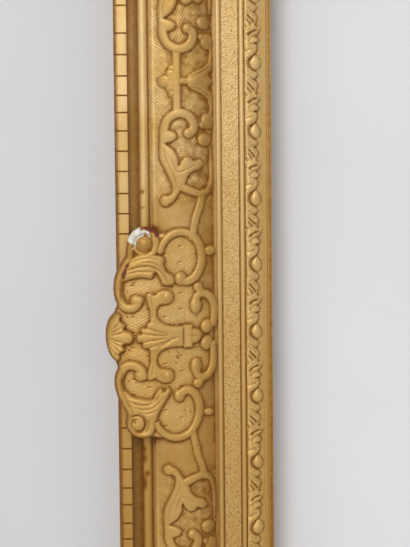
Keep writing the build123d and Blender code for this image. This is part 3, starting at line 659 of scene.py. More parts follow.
def swept_solid(name, profile, along, lift, fields):
    """A closed mitred length: a profile carried along a rail, its points lifted by a little."""
    profile = np.array(profile, float)
    stations, points = along.shape
    spots = np.stack([np.broadcast_to(profile[:, 0], along.shape), along, profile[:, 1] + lift], axis=-1)
    ring = np.arange(points)
    ahead = np.roll(ring, -1)
    here = points * np.arange(stations - 1)[:, None]
    there = here + points
    quads = np.stack([here + ring, here + ahead, there + ahead, there + ring], axis=-1)
    caps = [ring[::-1].tolist(), (points * (stations - 1) + ring).tolist()]
    mesh = bpy.data.meshes.new(name)
    mesh.from_pydata((spots.reshape(-1, 3) * MM).tolist(), [], quads.reshape(-1, 4).tolist() + caps)
    mesh.shade_smooth()
    mesh.set_sharp_from_angle(angle=SHARP_ANGLE)
    set_fields(mesh, {field: np.broadcast_to(values, along.shape) for field, values in fields.items()})
    return mesh


def rail_matrix(side, along=0.0):
    """Placing of a rail's own axes, moved along the rail."""
    origin, across = {
        "left": ((-HALF_WIDTH, 0, 0), (1, 0, 0)),
        "right": ((HALF_WIDTH, 0, 0), (-1, 0, 0)),
        "top": ((0, 0, HALF_HEIGHT), (0, 0, -1)),
        "bottom": ((0, 0, -HALF_HEIGHT), (0, 0, 1)),
    }[side]
    front = Vector((0, -1, 0))
    length = front.cross(Vector(across))
    turn = Matrix((Vector(across), length, front)).transposed().to_4x4()
    turn.translation = (Vector(origin) + along * length) * MM
    return turn


def add_piece(name, mesh, placing, material, node):
    """Puts a mesh in place on the frame, where it stands for a solid."""
    obj = bpy.data.objects.new(name, mesh)
    bpy.context.scene.collection.objects.link(obj)
    if not mesh.materials:
        mesh.materials.append(material)
    obj.matrix_world = placing
    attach(obj, "frame")
    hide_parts(node)


def feed(tree, socket, value):
    """Links another node's output to a socket, or sets the socket's own value."""
    if isinstance(value, bpy.types.NodeSocket):
        tree.links.new(value, socket)
    else:
        socket.default_value = value


def feed_all(tree, node, sockets):
    """Feeds a node's inputs by their names or places."""
    for key, value in sockets.items():
        feed(tree, node.inputs[key], value)


def make_node(tree, kind, settings=None, sockets=None):
    """One shader node with its settings and inputs."""
    made = tree.nodes.new(kind)
    for name, value in (settings or {}).items():
        setattr(made, name, value)
    feed_all(tree, made, sockets or {})
    return made


def colour(value):
    """A colour with its alpha."""
    return (*value, 1.0)


def blend_colours(tree, share, first, second):
    """Two colours mixed by a share."""
    sockets = {0: share, 6: first, 7: second}
    return make_node(tree, "ShaderNodeMix", {"data_type": "RGBA"}, sockets).outputs[2]


def rescale(tree, value, low, high, to_low=0.0, to_high=1.0):
    """A value carried from one range to another, held inside it."""
    sockets = {"Value": value, "From Min": low, "From Max": high, "To Min": to_low, "To Max": to_high}
    return make_node(tree, "ShaderNodeMapRange", None, sockets).outputs["Result"]


def combine(tree, operation, first, second=0.0):
    """Two values put together; a sum is held between 0 and 1."""
    settings = {"operation": operation, "use_clamp": operation == "ADD"}
    return make_node(tree, "ShaderNodeMath", settings, {0: first, 1: second}).outputs[0]


def add(tree, *values):
    """Values added one after another, held between 0 and 1."""
    total = values[0]
    for value in values[1:]:
        total = combine(tree, "ADD", total, value)
    return total


def multiply(tree, first, second):
    """One value times another."""
    return combine(tree, "MULTIPLY", first, second)


def uneven(tree, vector, scale, detail=3.0, roughness=0.55):
    """Soft noise."""
    sockets = {"Vector": vector, "Scale": scale, "Detail": detail, "Roughness": roughness}
    return make_node(tree, "ShaderNodeTexNoise", None, sockets).outputs["Fac"]


def grains(tree, vector, scale):
    """Distance from the middles of scattered grains."""
    sockets = {"Vector": vector, "Scale": scale, "Randomness": 1.0}
    return make_node(tree, "ShaderNodeTexVoronoi", None, sockets).outputs["Distance"]


def mesh_field(tree, name):
    """A value stored on the mesh."""
    return make_node(tree, "ShaderNodeAttribute", {"attribute_name": name}).outputs["Fac"]


def axis_of(tree, place, axis):
    """One axis of a place."""
    return make_node(tree, "ShaderNodeSeparateXYZ", None, {"Vector": place}).outputs[axis]


def stretch(tree, place, scale, turn=0.0):
    """A place turned about the frame's depth and then stretched along its axes."""
    sockets = {"Vector": place, "Rotation": (0.0, turn, 0.0), "Scale": scale}
    return make_node(tree, "ShaderNodeMapping", None, sockets).outputs["Vector"]


def bump_normal(tree, height, strength, distance):
    """Surface direction over fine bumps."""
    sockets = {"Strength": strength, "Distance": distance, "Height": height}
    return make_node(tree, "ShaderNodeBump", None, sockets).outputs["Normal"]


def start_material(name):
    """A material with its shader and the place in the room."""
    material = bpy.data.materials.new(name)
    material.use_nodes = True
    tree = material.node_tree
    tree.nodes.clear()
    shader = make_node(tree, "ShaderNodeBsdfPrincipled")
    make_node(tree, "ShaderNodeOutputMaterial", None, {"Surface": shader.outputs["BSDF"]})
    place = make_node(tree, "ShaderNodeNewGeometry").outputs["Position"]
    return material, tree, shader, place


def sand_texture(tree, place, soil_and_shade, fine):
    """Soil with painted shade, and bumps of the sanded flat: grains with dark pits between them."""
    hole = rescale(tree, grains(tree, place, 540.0), 0.14, 0.38, 1.0, 0.0)
    hole = multiply(tree, hole, rescale(tree, uneven(tree, place, 210.0, 2.0), 0.41, 0.52))
    rise = rescale(tree, grains(tree, place, 640.0), 0.0, 0.75, 1.0, 0.0)
    between = rescale(tree, rise, 0.2, 0.75, 0.16, 0.0)
    clouds = rescale(tree, uneven(tree, place, 420.0, 3.0), 0.5, 0.66, 0.0, 0.26)
    soil_and_shade = add(tree, soil_and_shade, multiply(tree, hole, 0.5), between, clouds)
    return soil_and_shade, add(tree, multiply(tree, rise, 0.6), multiply(tree, fine, 0.4))


def rib_texture(tree, soil_and_shade, fine):
    """Soil with painted shade, and bumps of the fine ribs across the lip."""
    wave = combine(tree, "SINE", multiply(tree, mesh_field(tree, "along"), math.tau / RIB_PITCH))
    ribs = multiply(tree, rescale(tree, wave, -1.0, 1.0), mesh_field(tree, "rib"))
    soil_and_shade = add(tree, soil_and_shade, multiply(tree, ribs, 0.24))
    return soil_and_shade, combine(tree, "SUBTRACT", multiply(tree, fine, 0.5), multiply(tree, ribs, 0.5))


def gilt_material(name, kind):
    """Gold leaf over bole and gesso, toned in the hollows with glaze and painted shade and darker towards the
    bottom as painted shade, with the texture of its kind of surface.
    """
    if name in bpy.data.materials:
        return bpy.data.materials[name]
    finish = bpy.context.scene.gilt_finish
    look = GILT_KINDS[kind]
    material, tree, shader, place = start_material(name)
    rich = mesh_field(tree, "rich")
    height = axis_of(tree, place, "Z")
    patches = rescale(tree, uneven(tree, place, 26.0, 4.0), 0.36, 0.64, *look["pale"])
    patches = multiply(tree, patches, rescale(tree, rich, 0.0, 1.0, 1.0, 0.5))
    # Painted shade: the pale patches fade towards the bottom of the frame, where the light falls off.
    patches = multiply(tree, patches, rescale(tree, height, 0.22, -0.1, 1.0, look["fading_pale_low"]))
    leaf = blend_colours(tree, patches, colour(finish.gold), colour(finish.pale_gold))
    grime = uneven(tree, place, 240.0, 5.0, 0.65)
    # Soil holds the tone field's glaze and painted shade, random specks, and the painted shade low on the
    # frame.
    soil_and_shade = multiply(tree, mesh_field(tree, "tone"), rescale(tree, grime, 0.3, 0.7, 0.7, 1.15))
    specks = rescale(tree, uneven(tree, place, 620.0, 2.0), 0.7, 0.76, 0.0, 0.45)
    # Painted shade: the gilding darkens towards the bottom of the frame, where the light falls off.
    low = rescale(tree, height, 0.2, -0.16, 0.0, look["painted_low_shade"])
    low = multiply(tree, low, rescale(tree, rich, 0.0, 1.0, 1.0, look["painted_shade_on_rich"]))
    soil_and_shade = add(tree, soil_and_shade, specks, low)
    bumps = uneven(tree, place, 520.0, 4.0, 0.6)
    if kind == "sand":
        soil_and_shade, bumps = sand_texture(tree, place, soil_and_shade, bumps)
    if kind in ("sight", "leaf"):
        soil_and_shade, bumps = rib_texture(tree, soil_and_shade, bumps)
    bole, gesso = mesh_field(tree, "bole"), mesh_field(tree, "gesso")
    painted = blend_colours(tree, soil_and_shade, leaf, colour(finish.toning))
    painted = blend_colours(tree, bole, painted, colour(finish.bole))
    chalk = blend_colours(tree, rescale(tree, grime, 0.35, 0.6), colour(finish.gesso), SOILED_GESSO)
    bare = add(tree, bole, gesso, multiply(tree, soil_and_shade, 0.25))
    worn = add(tree, multiply(tree, bare, 0.3), rescale(tree, grime, 0.3, 0.7, 0.0, 0.12))
    feed_all(tree, shader, {
        "Base Color": blend_colours(tree, gesso, painted, chalk),
        "Metallic": rescale(tree, bare, 0.0, 1.0, finish.metal, 0.0),
        "Roughness": rescale(tree, worn, 0.0, 0.5, finish.roughness, 0.8),
        "Specular IOR Level": rescale(tree, soil_and_shade, 0.0, 0.8, 0.5, 0.1),
        "Normal": bump_normal(tree, bumps, 0.6, look["bump"]),
    })
    return material


def wood_material(name, axis, turn=0.0):
    """Aged bare softwood with its grain along one axis, or turned from it about the frame's depth."""
    finish = bpy.context.scene.back_finish
    material, tree, shader, place = start_material(name)
    scale = [1.0, 1.0, 1.0]
    scale[axis] = GRAIN_STRETCH
    stretched = stretch(tree, place, scale, turn)
    bands = combine(tree, "SINE", multiply(tree, uneven(tree, stretched, 70.0, 2.0, 0.4), 60.0))
    streaks = uneven(tree, stretched, 900.0, 3.0, 0.7)
    late = rescale(tree, bands, -1.0, 1.0, 0.0, 0.5)
    share = add(tree, late, rescale(tree, streaks, 0.3, 0.7, 0.0, 0.5))
    timber = blend_colours(tree, share, colour(finish.pale_wood), colour(finish.dark_wood))
    stain = rescale(tree, uneven(tree, place, 9.0, 5.0, 0.65), 0.5, 0.75, 0.0, 0.55)
    feed_all(tree, shader, {
        "Base Color": blend_colours(tree, stain, timber, WOOD_STAIN),
        "Roughness": rescale(tree, streaks, 0.3, 0.7, 0.62, 0.82),
        "Normal": bump_normal(tree, share, 0.5, 0.0004),
    })
    return material


def brass_material(name):
    """Dull brass with tarnish and fine scratches."""
    finish = bpy.context.scene.back_finish
    material, tree, shader, place = start_material(name)
    cloud = uneven(tree, place, 130.0, 5.0, 0.65)
    tarnish = rescale(tree, cloud, 0.42, 0.68)
    scratches = uneven(tree, stretch(tree, place, (1.0, 1.0, 0.1)), 1500.0, 2.0, 0.6)
    feed_all(tree, shader, {
        "Base Color": blend_colours(tree, tarnish, colour(finish.brass), colour(finish.tarnish)),
        "Metallic": rescale(tree, tarnish, 0.0, 1.0, 1.0, 0.6),
        "Roughness": rescale(tree, cloud, 0.3, 0.7, 0.28, 0.55),
        "Normal": bump_normal(tree, scratches, 0.3, 0.0001),
    })
    return material


def dress_nodes(names, material):
    """Gives solids that stay in view a better material."""
    for name in names:
        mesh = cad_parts[name].data
        mesh.materials.clear()
        mesh.materials.append(material)


def arc_points(points, count):
    """Places on the circle through three points, from the first to the last."""
    across = np.linspace(points[0][0], points[2][0], count)
    return list(zip(across, arc_height(across, points)))


def bead_points(start, end, height, count=13):
    """Places round a half-round bead."""
    radius = (end - start) / 2
    turns = np.linspace(math.pi, 0, count)
    return [(start + radius + radius * math.cos(a), height + radius * math.sin(a)) for a in turns]


def mesh_step(side):
    """Mesh spacing of a relief, fine on the photographed rail."""
    sizes = bpy.context.scene.relief_sizes
    return sizes.fine_step if side == "left" else sizes.coarse_step


def run_places(run):
    """How the drawing of a run, counted from its middle, is laid along a run of this length."""
    drawn_bar, drawn_tail, drawn_end = 21.3, 95.5, 110.0
    scroll = 30.2 + 0.2 * run
    bar = 0.6 * (run / 2 - scroll)
    marks = (0.0, drawn_bar, drawn_tail, drawn_end)
    laid = (0.0, bar, bar + scroll, run / 2)
    return lambda points: [(u, float(np.interp(drawn, marks, laid))) for u, drawn in points]


def union(*depths):
    """Inside of any of the shapes."""
    return np.maximum.reduce(depths)


def disc_depth(u, t, middle, radius):
    """Inside of a round shape."""
    return radius - np.hypot(u - middle[0], t - middle[1])


def run_relief(u, t, run):
    """Height of a run's ornament above the frieze: bar, hooks, split leaves, balls, bell and trefoil."""
    height = bpy.context.scene.relief_sizes.run_height
    lay = run_places(run)
    leaf_edges = (
        [(34, 38), (33, 46), (33.2, 59), (37.6, 69), (42, 79), (42, 85), (38.5, 87.2), (34.5, 88)],
        [(37, 95), (43.5, 92), (48.6, 85), (53.4, 78), (55, 73), (58.5, 69.4), (64.6, 67)],
        [
            (64.6, 67), (67.6, 62.8), (64.6, 59.2), (60, 60.6), (57.4, 58.4), (53.6, 57.4), (50.4, 60),
            (48, 64),
        ],
        [(48, 64), (47.4, 58), (43.8, 52), (37.8, 47.4)],
        [(37.8, 47.4), (43, 46), (46.9, 42.8), (45.4, 39), (40.8, 37)],
    )
    leaf = np.vstack([smooth_line(lay(edge)) for edge in leaf_edges])
    hook = lay([
        (37.0, 44), (37.0, 36), (40.6, 28.2), (48.6, 24.2), (56, 26.6), (59.7, 33), (58.8, 37.4),
        (55.6, 39.4),
    ])
    branch = lay([(48.5, 80), (56.3, 83.6), (64, 86), (70.4, 83), (73, 75), (73.2, 64), (73.2, 52)])
    stem = lay([(65.4, 86), (63.6, 95), (61, 103), (59.4, 110)])
    leaf_end, hook_end, bar_end = lay([(36.8, 91), (55.6, 39.6), (46.6, 23.4)])
    depth = union(
        outline_depth(u, t, leaf),
        stroke_depth(u, t, hook, 7.4, 7.0),
        stroke_depth(u, t, branch, 7.0, 2.2),
        disc_depth(u, t, leaf_end, 4.4),
        disc_depth(u, t, hook_end, 4.0),
    )
    relief = swell(depth, height, 1.9) + 0.12 * height * ramp(depth, 0, 4)
    stalk = np.minimum(3.2 - np.abs(u - 46.9), bar_end[1] - t)
    relief = np.maximum(relief, swell(stalk, 0.8 * height, 1.7))
    relief = np.maximum(relief, swell(stroke_depth(u, t, stem, 5.8), 0.75 * height, 1.9))
    relief -= groove(u, t, lay([(36.4, 46), (36.8, 57), (41.8, 68), (46, 78), (44, 87)]), 0.7, 0.4)
    relief -= groove(u, t, lay([(42, 58), (47, 69), (54, 67.5), (60.5, 64)]), 0.7, 0.45)
    balls = lay([(70.4, 30), (66, 33.4), (67.8, 44.4), (55.6, 39.6)])
    for middle, radii in zip(balls, ((5.4, 6.2), (2.7, 2.6), (5.4, 5.2), (4.0, 3.8))):
        relief = np.maximum(relief, dome(u, t, middle, radii, 1.35 * height))
    petals = (((37.6, 0), 5.0), ((42.4, 5.4), 4.0), ((43.4, 9.6), 3.0), ((43, 2), 4.6))
    trefoil = union(*(disc_depth(u, t, middle, radius) for middle, radius in petals))
    relief = np.maximum(relief, swell(trefoil, 0.8 * height, 3.4))
    tie = np.minimum(2.4 - t, 4.2 - np.abs(u - 52.6))
    relief = np.maximum(relief, swell(tie, 0.7 * height, 1.6))
    bell = smooth_line([
        (54.4, 0), (55.6, 4.4), (60, 7), (66.5, 10.4), (71.6, 15), (74.6, 18), (75, 10), (71, 5), (75, 0),
    ])
    flower = outline_depth(u, t, np.vstack([bell, bell[::-1] * (1, -1)]))
    relief = np.maximum(relief, swell(flower, height, 2.6))
    relief = np.maximum(relief, dome(u, t, (61, 0), (7.0, 5.2), 1.3 * height))
    relief -= groove(u, t, [(57, 4.8), (64, 6.0), (72, 11.5)], 0.8, 0.9)
    curl = stroke_depth(u, t, [(72.4, 14), (73.2, 20), (72.4, 26)], 3.6, 2.2)
    return np.maximum(relief, swell(curl, 0.9 * height, 1.6))


def relief_grid(low, high, half, step):
    """Places across the rail and along it, about the middle of a relief."""
    rows = int(round((high - low) / step))
    columns = 2 * int(round(half / step))
    across = np.linspace(low, high, rows + 1)
    return np.meshgrid(across, np.linspace(-half, half, columns + 1), indexing="ij")


def frieze_sheet(u, t, half):
    """Inside of the thin ground that covers the frieze."""
    return np.minimum(np.minimum(u - FRIEZE_START, FRIEZE_END - u), half - np.abs(t))


def frieze_hatch(u, t, inner):
    """Lines pressed into the ground of a run: crossed on the inner side, dashes on the outer."""
    crossed = np.maximum(*(slanted(u, t, 2.0, math.radians(angle), 0.55) for angle in (60, -60)))
    dashes = slanted(u, t, 2.0, math.radians(34), 0.6)
    dashes *= 0.6 + 0.4 * slanted(u, t, 2.6, math.radians(-50), 0.8)
    return 0.38 * (dashes + (crossed - dashes) * inner)


def run_mesh(name, run, step, seed):
    """A pressed scroll run about its own middle."""
    half = run / 2
    u, t = relief_grid(FRIEZE_START, FRIEZE_END, half, step)
    sway, lean = (mottle(u.shape, 14 / step, seed + place) for place in (0, 1))
    from_end = half - np.abs(t)
    ends = ramp(from_end, 0, END_FADE)
    middle = ramp(from_end, 12, 10)
    relief = run_relief(u + SWAY * sway * ends, np.abs(t) + SWAY * lean * ends, run)
    bare = 1 - cover(relief)
    worked = bare * middle
    hatch = frieze_hatch(u + 0.3 * sway, t + 0.3 * lean, ramp(u, 36, 5))
    hatch *= 0.75 + 0.35 * mottle(u.shape, 1.2 / step, seed + 3)
    grain = 0.05 * mottle(u.shape, 2.5 / step, seed + 2)
    grain += 0.035 * bare * mottle(u.shape, 0.8 / step, seed + 4)
    relief = np.maximum(relief, 0) + grain * ends
    face = ground_height(u) + relief
    shade = glaze_and_shade_lines(face, step) + ground_glaze_and_shade(u, relief, 1 - middle) + inner_glaze_and_shade(u, relief)
    shade += 0.07 * ends * mottle(u.shape, 5 / step, seed + 5)
    glazed = np.interp(u, (28.4, 30.0, 34.0, 40.0), (0.0, 0.44, 0.52, 1.0))
    shade += worked * glazed * (0.62 - 1.9 * hatch) + 0.05 * (1 - bare)
    # Painted shade with some glaze, deepening towards the opening where the frieze turns away from the light.
    shade += 0.2 * middle * ramp(u, 58, 12)
    top = face + 0.7 * worked * (hatch - 0.17)
    fields = {"tone": np.clip(shade, 0, 1), "rich": np.maximum(ramp(u, *RICH_SIDE), 0.6 * (1 - bare))}
    seat = frieze_height(u) - GROUND
    return solid_from_relief(name, u, t, top, seat, frieze_sheet(u, t, half), fields)


def shell_relief(u, t, height):
    """Fan with a smooth outer rim, ribs and a scalloped front edge."""
    edge = smooth_line([(-2.0, 20.5), (-7.8, 14), (-10.6, 5), (-10.6, -5), (-7.8, -14), (-2.0, -20.5)])
    front = [
        (1.2, -16.6), (0.4, -13.6), (4.8, -10.4), (3.4, -6.6), (9.4, -5.0), (12.0, -0.8), (9.6, 3.4),
        (4.4, 5.4), (5.4, 9.0), (1.2, 12.4), (2.0, 16.0),
    ]
    outline = np.vstack([edge, smooth_line([edge[-1]] + front + [edge[0]], 5)])
    depth = outline_depth(u, t, outline)
    turn = np.degrees(np.arctan2(t + 0.6, u + 12.5))
    rib_turns = (0, 9, 14, 20, 27, 34, 40, 47, 54, 62)
    rib_heights = (1, 0.8, 0, 0.9, 0, 0.9, 0, 0.8, 0, 0.7)
    ribs = np.interp(np.abs(turn), rib_turns, rib_heights) * ramp(u, -8.5, 4)
    rim = ramp(np.hypot((u + 1) / 9.6, t / 20.5), 0.72, 0.1) * (u < 1)
    body = swell(depth, height - 1.0, 2.2)
    return body + ramp(depth, 0, 1.5) * np.maximum(1.2 * ribs, 0.7 * rim), depth


def palmette_relief(u, t, height):
    """Fan of lobes that narrows to a broad stem with a collar, a rounded nose and two berries."""
    side = np.abs(t)
    upper = [
        (13.4, -1.0), (14.8, 1.9), (17.8, 2.5), (16.8, 5.0), (18.6, 7.2), (21.6, 6.9), (22.0, 10.0),
        (26.0, 12.2), (30.5, 11.2), (34.6, 9.6), (40, 8.4), (46, 8.0), (51, 8.0),
    ]
    lower = [
        (13.4, -1.0), (15.0, -4.4), (18.2, -4.6), (18.2, -7.6), (20.4, -9.6), (23.0, -9.2), (24.4, -11.8),
        (28.0, -12.2), (32, -10.8), (36.6, -9.2), (42, -8.2), (51, -8.0),
    ]
    depth = outline_depth(u, t, np.vstack([smooth_line(upper, 5), smooth_line(lower, 5)[::-1]]))
    relief = swell(depth, 0.95 * height, 2.0) + 0.15 * height * ramp(depth, 0, 5)
    lobes = (
        ((17.4, 2.6), (27, 1.6)), ((21.2, 7.0), (29, 4.8)), ((17.8, -4.6), (27, -2.6)),
        ((22.6, -9.2), (30, -6.2)),
    )
    for tip, bend in lobes:
        relief -= groove(u, t, [tip, bend, (40, 0.4 * bend[1])], 0.8, 0.75)
    relief -= groove(u, t, [(30, -8.6), (36, -5.6), (42, -1.6), (47, -0.8)], 1.3, 0.85)
    collar = np.minimum(3.7 - np.abs(u - 54.0), 9.0 - side)
    nose = 5.6 * (1 - np.hypot((u - 57.4) / 7.6, side / 5.9))
    relief = np.maximum(relief, swell(collar, 1.15 * height, 1.6))
    relief = np.maximum(relief, swell(nose, height, 2.4))
    relief -= groove(u, side, [(52.4, 0), (52.5, 4), (52.4, 8.5)], 0.7, 0.4)
    relief -= groove(u, t, [(53.2, 0), (57.0, 0.2), (62.0, 0)], 0.8, 0.5)
    depth = union(depth, collar, nose, disc_depth(u, side, (68.4, 6.2), 4.6))
    return np.maximum(relief, dome(u, side, (68.4, 6.4), (5.0, 5.6), 1.35 * height)), depth


def arm_relief(u, t, height, drawn):
    """Half of a cartouche: outer scroll and volute, acanthus leaf, ring, knobs and stem."""
    scroll = stroke_depth(u, t, drawn["scroll"], 7.0, 8.4)
    depth = union(scroll, stroke_depth(u, t, drawn["volute"], 6.4))
    relief = swell(depth, height, 2.4) + 0.15 * height * ramp(depth, 0, 4)
    eye, radii = drawn["eye"]
    moat = np.hypot(u - eye[0], t - eye[1])
    well = disc_depth(u, t, eye, radii[0] + 3.4)
    relief = np.maximum(relief, swell(well, 0.75 * height, 2.0))
    relief -= 0.8 * soft_peak(moat - radii[0] - 0.3, 0.9)
    blade = outline_depth(u, t, np.vstack([smooth_line(line)[:-1] for line in drawn["leaf"]]))
    fold = swell(blade, 1.05 * height, 2.6) + 0.2 * height * ramp(blade, 0, 6)
    for line, width, cut in drawn["folds"]:
        fold -= groove(u, t, line, width, cut)
    fold *= ramp(moat, radii[0], 1.4)
    hoop = np.where(blade > -0.6, -5.0, stroke_depth(u, t, drawn["ring"], 7.0, 5.6))
    stem = stroke_depth(u, t, [(57.0, 76), (58.4, 82), (59.4, 92)], 5.6)
    relief = union(relief, fold, swell(hoop, 0.85 * height, 2.6), swell(stem, 0.58 * height, 1.9))
    depth = union(depth, well, blade, hoop, stem)
    for middle, sizes, share in ((eye, radii, drawn["eye_share"]),) + drawn["knobs"]:
        relief = np.maximum(relief, dome(u, t, middle, sizes, share * height))
        depth = np.maximum(depth, disc_depth(u, t, middle, min(sizes)))
    pit, wide, deep = drawn["pit"]
    relief -= deep * soft_peak(np.hypot(u - pit[0], t - pit[1]), wide)
    if drawn["coil"]:
        relief -= groove(u, t, drawn["coil"], 0.9, 1.3)
    return relief, depth


def middle_relief(u, t, height):
    """Horns joined to the palmette's stem, and inner hooks between the arms of a centre cartouche."""
    hook = [
        (73.4, 8), (74.0, 17), (73.2, 24), (70.4, 29.4), (66.2, 32.2), (62.0, 31.4), (60.0, 28), (59.6, 24),
    ]
    link = [(61.6, 38), (63.6, 34.4), (67.5, 31)]
    horn = smooth_line([
        (24.4, 9), (24.2, 14), (24.2, 20), (22.4, 26), (21.8, 32.6), (25.2, 34.0), (28.2, 32.4), (31, 34.6),
        (36.6, 36.2), (41.6, 33.4), (41.4, 27.8), (37.4, 25.0), (32.6, 24.4), (30.0, 21), (29.8, 17),
        (31.8, 12.6), (37, 9.4), (44, 8), (50, 7.6),
    ])
    stalk = outline_depth(u, t, np.vstack([horn, [(50, -1), (24.4, -1)]]))
    depth = union(stroke_depth(u, t, hook, 5.6, 6.4), stroke_depth(u, t, link, 5.8, 5.0))
    relief = swell(depth, 0.95 * height, 2.4)
    relief = np.maximum(relief, dome(u, t, (59.8, 23.6), (4.5, 6.8), 1.15 * height))
    lift = swell(stalk, 0.8 * height, 2.2)
    lift -= groove(u, t, [(26.8, 14), (26.8, 22), (25.2, 31)], 0.7, 0.45)
    lift = np.maximum(lift, dome(u, t, (38.2, 30.6), (4.6, 5.4), 1.05 * height))
    return np.maximum(relief, lift), union(depth, disc_depth(u, t, (59.8, 24.4), 4.4), stalk)


def panel_depth(u, t):
    """Inside of the domed panel under a centre cartouche."""
    outer = smooth_line([
        (-7, 0), (-5, 15), (0, 30), (2, 46), (7, 58), (8, 67), (10.5, 75), (16, 79), (22, 79.5),
    ])
    inner = smooth_line([
        (22, 79.5), (32, 79.5), (46, 79), (58, 73), (63, 60), (61.5, 46), (66, 35), (71.5, 27), (74, 12),
        (74, 0),
    ])
    edge = np.vstack([outer, inner])
    return outline_depth(u, t, np.vstack([edge, edge[::-1] * (1, -1)]))


def ring_ground(u, t):
    """Inside of an arm's ring, whose ground is domed too."""
    return ramp(1 - np.hypot((u - 48) / 13.0, (t - 61.5) / 16.0), 0, 0.1)


def lattice_ground(u, t):
    """Raised diamonds within diamonds round a pit, on the ground of a cartouche."""
    angle, cell, pitch = math.radians(26), 10.9, 1.8
    right, up = (u - 48.2) * math.sin(angle), (t - 21.1) * math.cos(angle)
    first, second = (up + right) / cell, (up - right) / cell
    inside = cell * np.maximum(np.abs(first - np.round(first)), np.abs(second - np.round(second)))
    ridge = soft_peak(inside - pitch * np.round(inside / pitch), 0.5)
    return 0.3 * ridge - 0.55 * soft_peak(inside, 0.9) - 0.12


def cast_face(u, t, step, panel, parts, sheet, ringed, ends, seed):
    """Face, outline, toning with its painted shade, and richness of a casting: its parts over the domed panel
    and the ground.
    """
    relief = np.maximum(union(*(rise for rise, _ in parts)), 0)
    depth = union(*(reach for _, reach in parts))
    rail = np.where(u > FRIEZE_START, ground_height(u), rail_height(u))
    crown = crown_height(u)
    base = rail + np.maximum(crown - rail, 0) * swell(panel, 1.0, 2.5)
    bare = 1 - cover(relief)
    domed = np.maximum(ramp(panel, 0, 2), ringed)
    textured = bare * ramp(np.maximum(panel, sheet), 0, 2) * domed
    grain = 0.06 * mottle(u.shape, 2.5 / step, seed)
    grain += 0.035 * bare * mottle(u.shape, 0.8 / step, seed + 6)
    face = np.where(depth > 0, np.maximum(base, crown), base) + relief + grain * ends
    shade = glaze_and_shade_lines(face, step) + ground_glaze_and_shade(u, relief, 1.0) * (1 - 0.85 * domed) + inner_glaze_and_shade(u, relief)
    shade += 0.07 * ends * mottle(u.shape, 5 / step, seed + 7)
    specks = np.clip((mottle(u.shape, 0.8 / step, seed + 5) - 1.9) / 0.5, 0, 0.7)
    ground = lattice_ground(u, t)
    shade += textured * (specks + 0.06 - ground)
    rich = union(0.6 * domed, 1 - bare, ramp(u, *RICH_SIDE))
    return face + textured * ground, union(panel, depth, sheet), shade, rich


def cast_edge(u, face, whole, filled, shade, step):
    """Rounds a casting's outer edge down to its seat, fills enclosed gaps thinly and tones the edge; the thin
    fill in the gaps is painted dark as shade.
    """
    gap = filled & (u < FRIEZE_END) & (whole < -TINY)
    seat = seat_height(u)
    outside = ramp(FRIEZE_START + 3 - u, 0, 3)
    fall = 1 - outside * (1 - swell(whole, 1.0, 2.0))
    face = np.where(whole > 0, np.maximum(seat + (face - seat) * fall, seat + FILM), face)
    # Toning of the outer edge, and full darkness in the enclosed gaps as painted shade of the holes between
    # parts.
    rim = np.maximum(outside * np.clip(1.4 - whole / 3.4, 0, 1), gap)
    shade = np.clip(np.maximum(shade, rim), 0, 1)
    return np.where(gap, seat + FILM, face), seat, np.where(gap, 0.4 * step, whole), shade


def lost_corner(u, t, whole, shade, step, seed):
    """Chipped gesso, bare clay and toning round the upper volute, and how deep they lie."""
    rough = 0.22 * mottle(u.shape, 1.3 / step, seed)
    (eye_u, eye_t), (eye_radius, _) = UPPER_ARM["eye"]
    from_eye = np.hypot(u - eye_u, t - eye_t)
    chip = 1.0 - np.hypot((u - 13.8) / 8.2, (t - 78.6) / 8.2) + 1.3 * rough
    gesso = ramp(chip, 0, 0.16) * (whole > 0) * ramp(from_eye, eye_radius, 0.6)
    shade = np.clip(shade + 0.34 * ramp(eye_radius - from_eye, 0, 1.5), 0, 1)
    above = t - eye_t - 2.0
    bend, turn = np.hypot(u - eye_u, above), np.arctan2(above, u - eye_u)
    stain = 1.0 - np.hypot((bend - 11.4) / 2.5, (turn - 0.98) / 0.85) + rough
    rub = 1.0 - np.hypot((u - 5.4 - 0.35 * (t - 49.6)) / 1.5, (t - 49.6) / 4.2) + 2.0 * rough
    bole = np.clip(np.maximum(stain / 0.2, rub / 0.35), 0, 1) * (1 - gesso) * (whole > 0)
    sunk = gesso * (1.1 + 0.35 * mottle(u.shape, 0.9 / step, seed + 1)) + 0.5 * bole
    return gesso, bole, shade, sunk


def centre_mesh(name, step, seed, damaged):
    """The casting in the middle of a rail; the photographed one has its lost corner."""
    sizes = bpy.context.scene.relief_sizes
    height = sizes.scroll_height
    u, t = relief_grid(CAST_START, CAST_END, CARTOUCHE_HALF, step)
    ends = ramp(CARTOUCHE_HALF - np.abs(t), 0, END_FADE)
    du = u + SWAY * mottle(u.shape, 12 / step, seed) * ends
    dt = t + SWAY * mottle(u.shape, 12 / step, seed + 1) * ends
    side = np.abs(dt)
    middle = u.shape[1] // 2
    lower = arm_relief(du[:, :middle], side[:, :middle], height, LOWER_ARM)
    upper = arm_relief(du[:, middle:], side[:, middle:], height, UPPER_ARM)
    parts = [
        tuple(np.hstack(halves) for halves in zip(lower, upper)),
        middle_relief(du, side, height),
        palmette_relief(du, dt, height),
        shell_relief(du, dt, sizes.shell_height),
    ]
    panel, sheet = panel_depth(du, dt), frieze_sheet(u, t, CARTOUCHE_HALF)
    ringed = ring_ground(du, side)
    face, whole, shade, rich = cast_face(u, t, step, panel, parts, sheet, ringed, ends, seed + 2)
    fields = {"rich": rich}
    if damaged:
        fields["gesso"], fields["bole"], shade, sunk = lost_corner(u, t, whole, shade, step, seed + 3)
        face -= sunk
    filled = np.logical_or.accumulate(whole > 0, axis=0)
    face, seat, whole, fields["tone"] = cast_edge(u, face, whole, filled, shade, step)
    return solid_from_relief(name, u, t, face, seat, whole, fields)


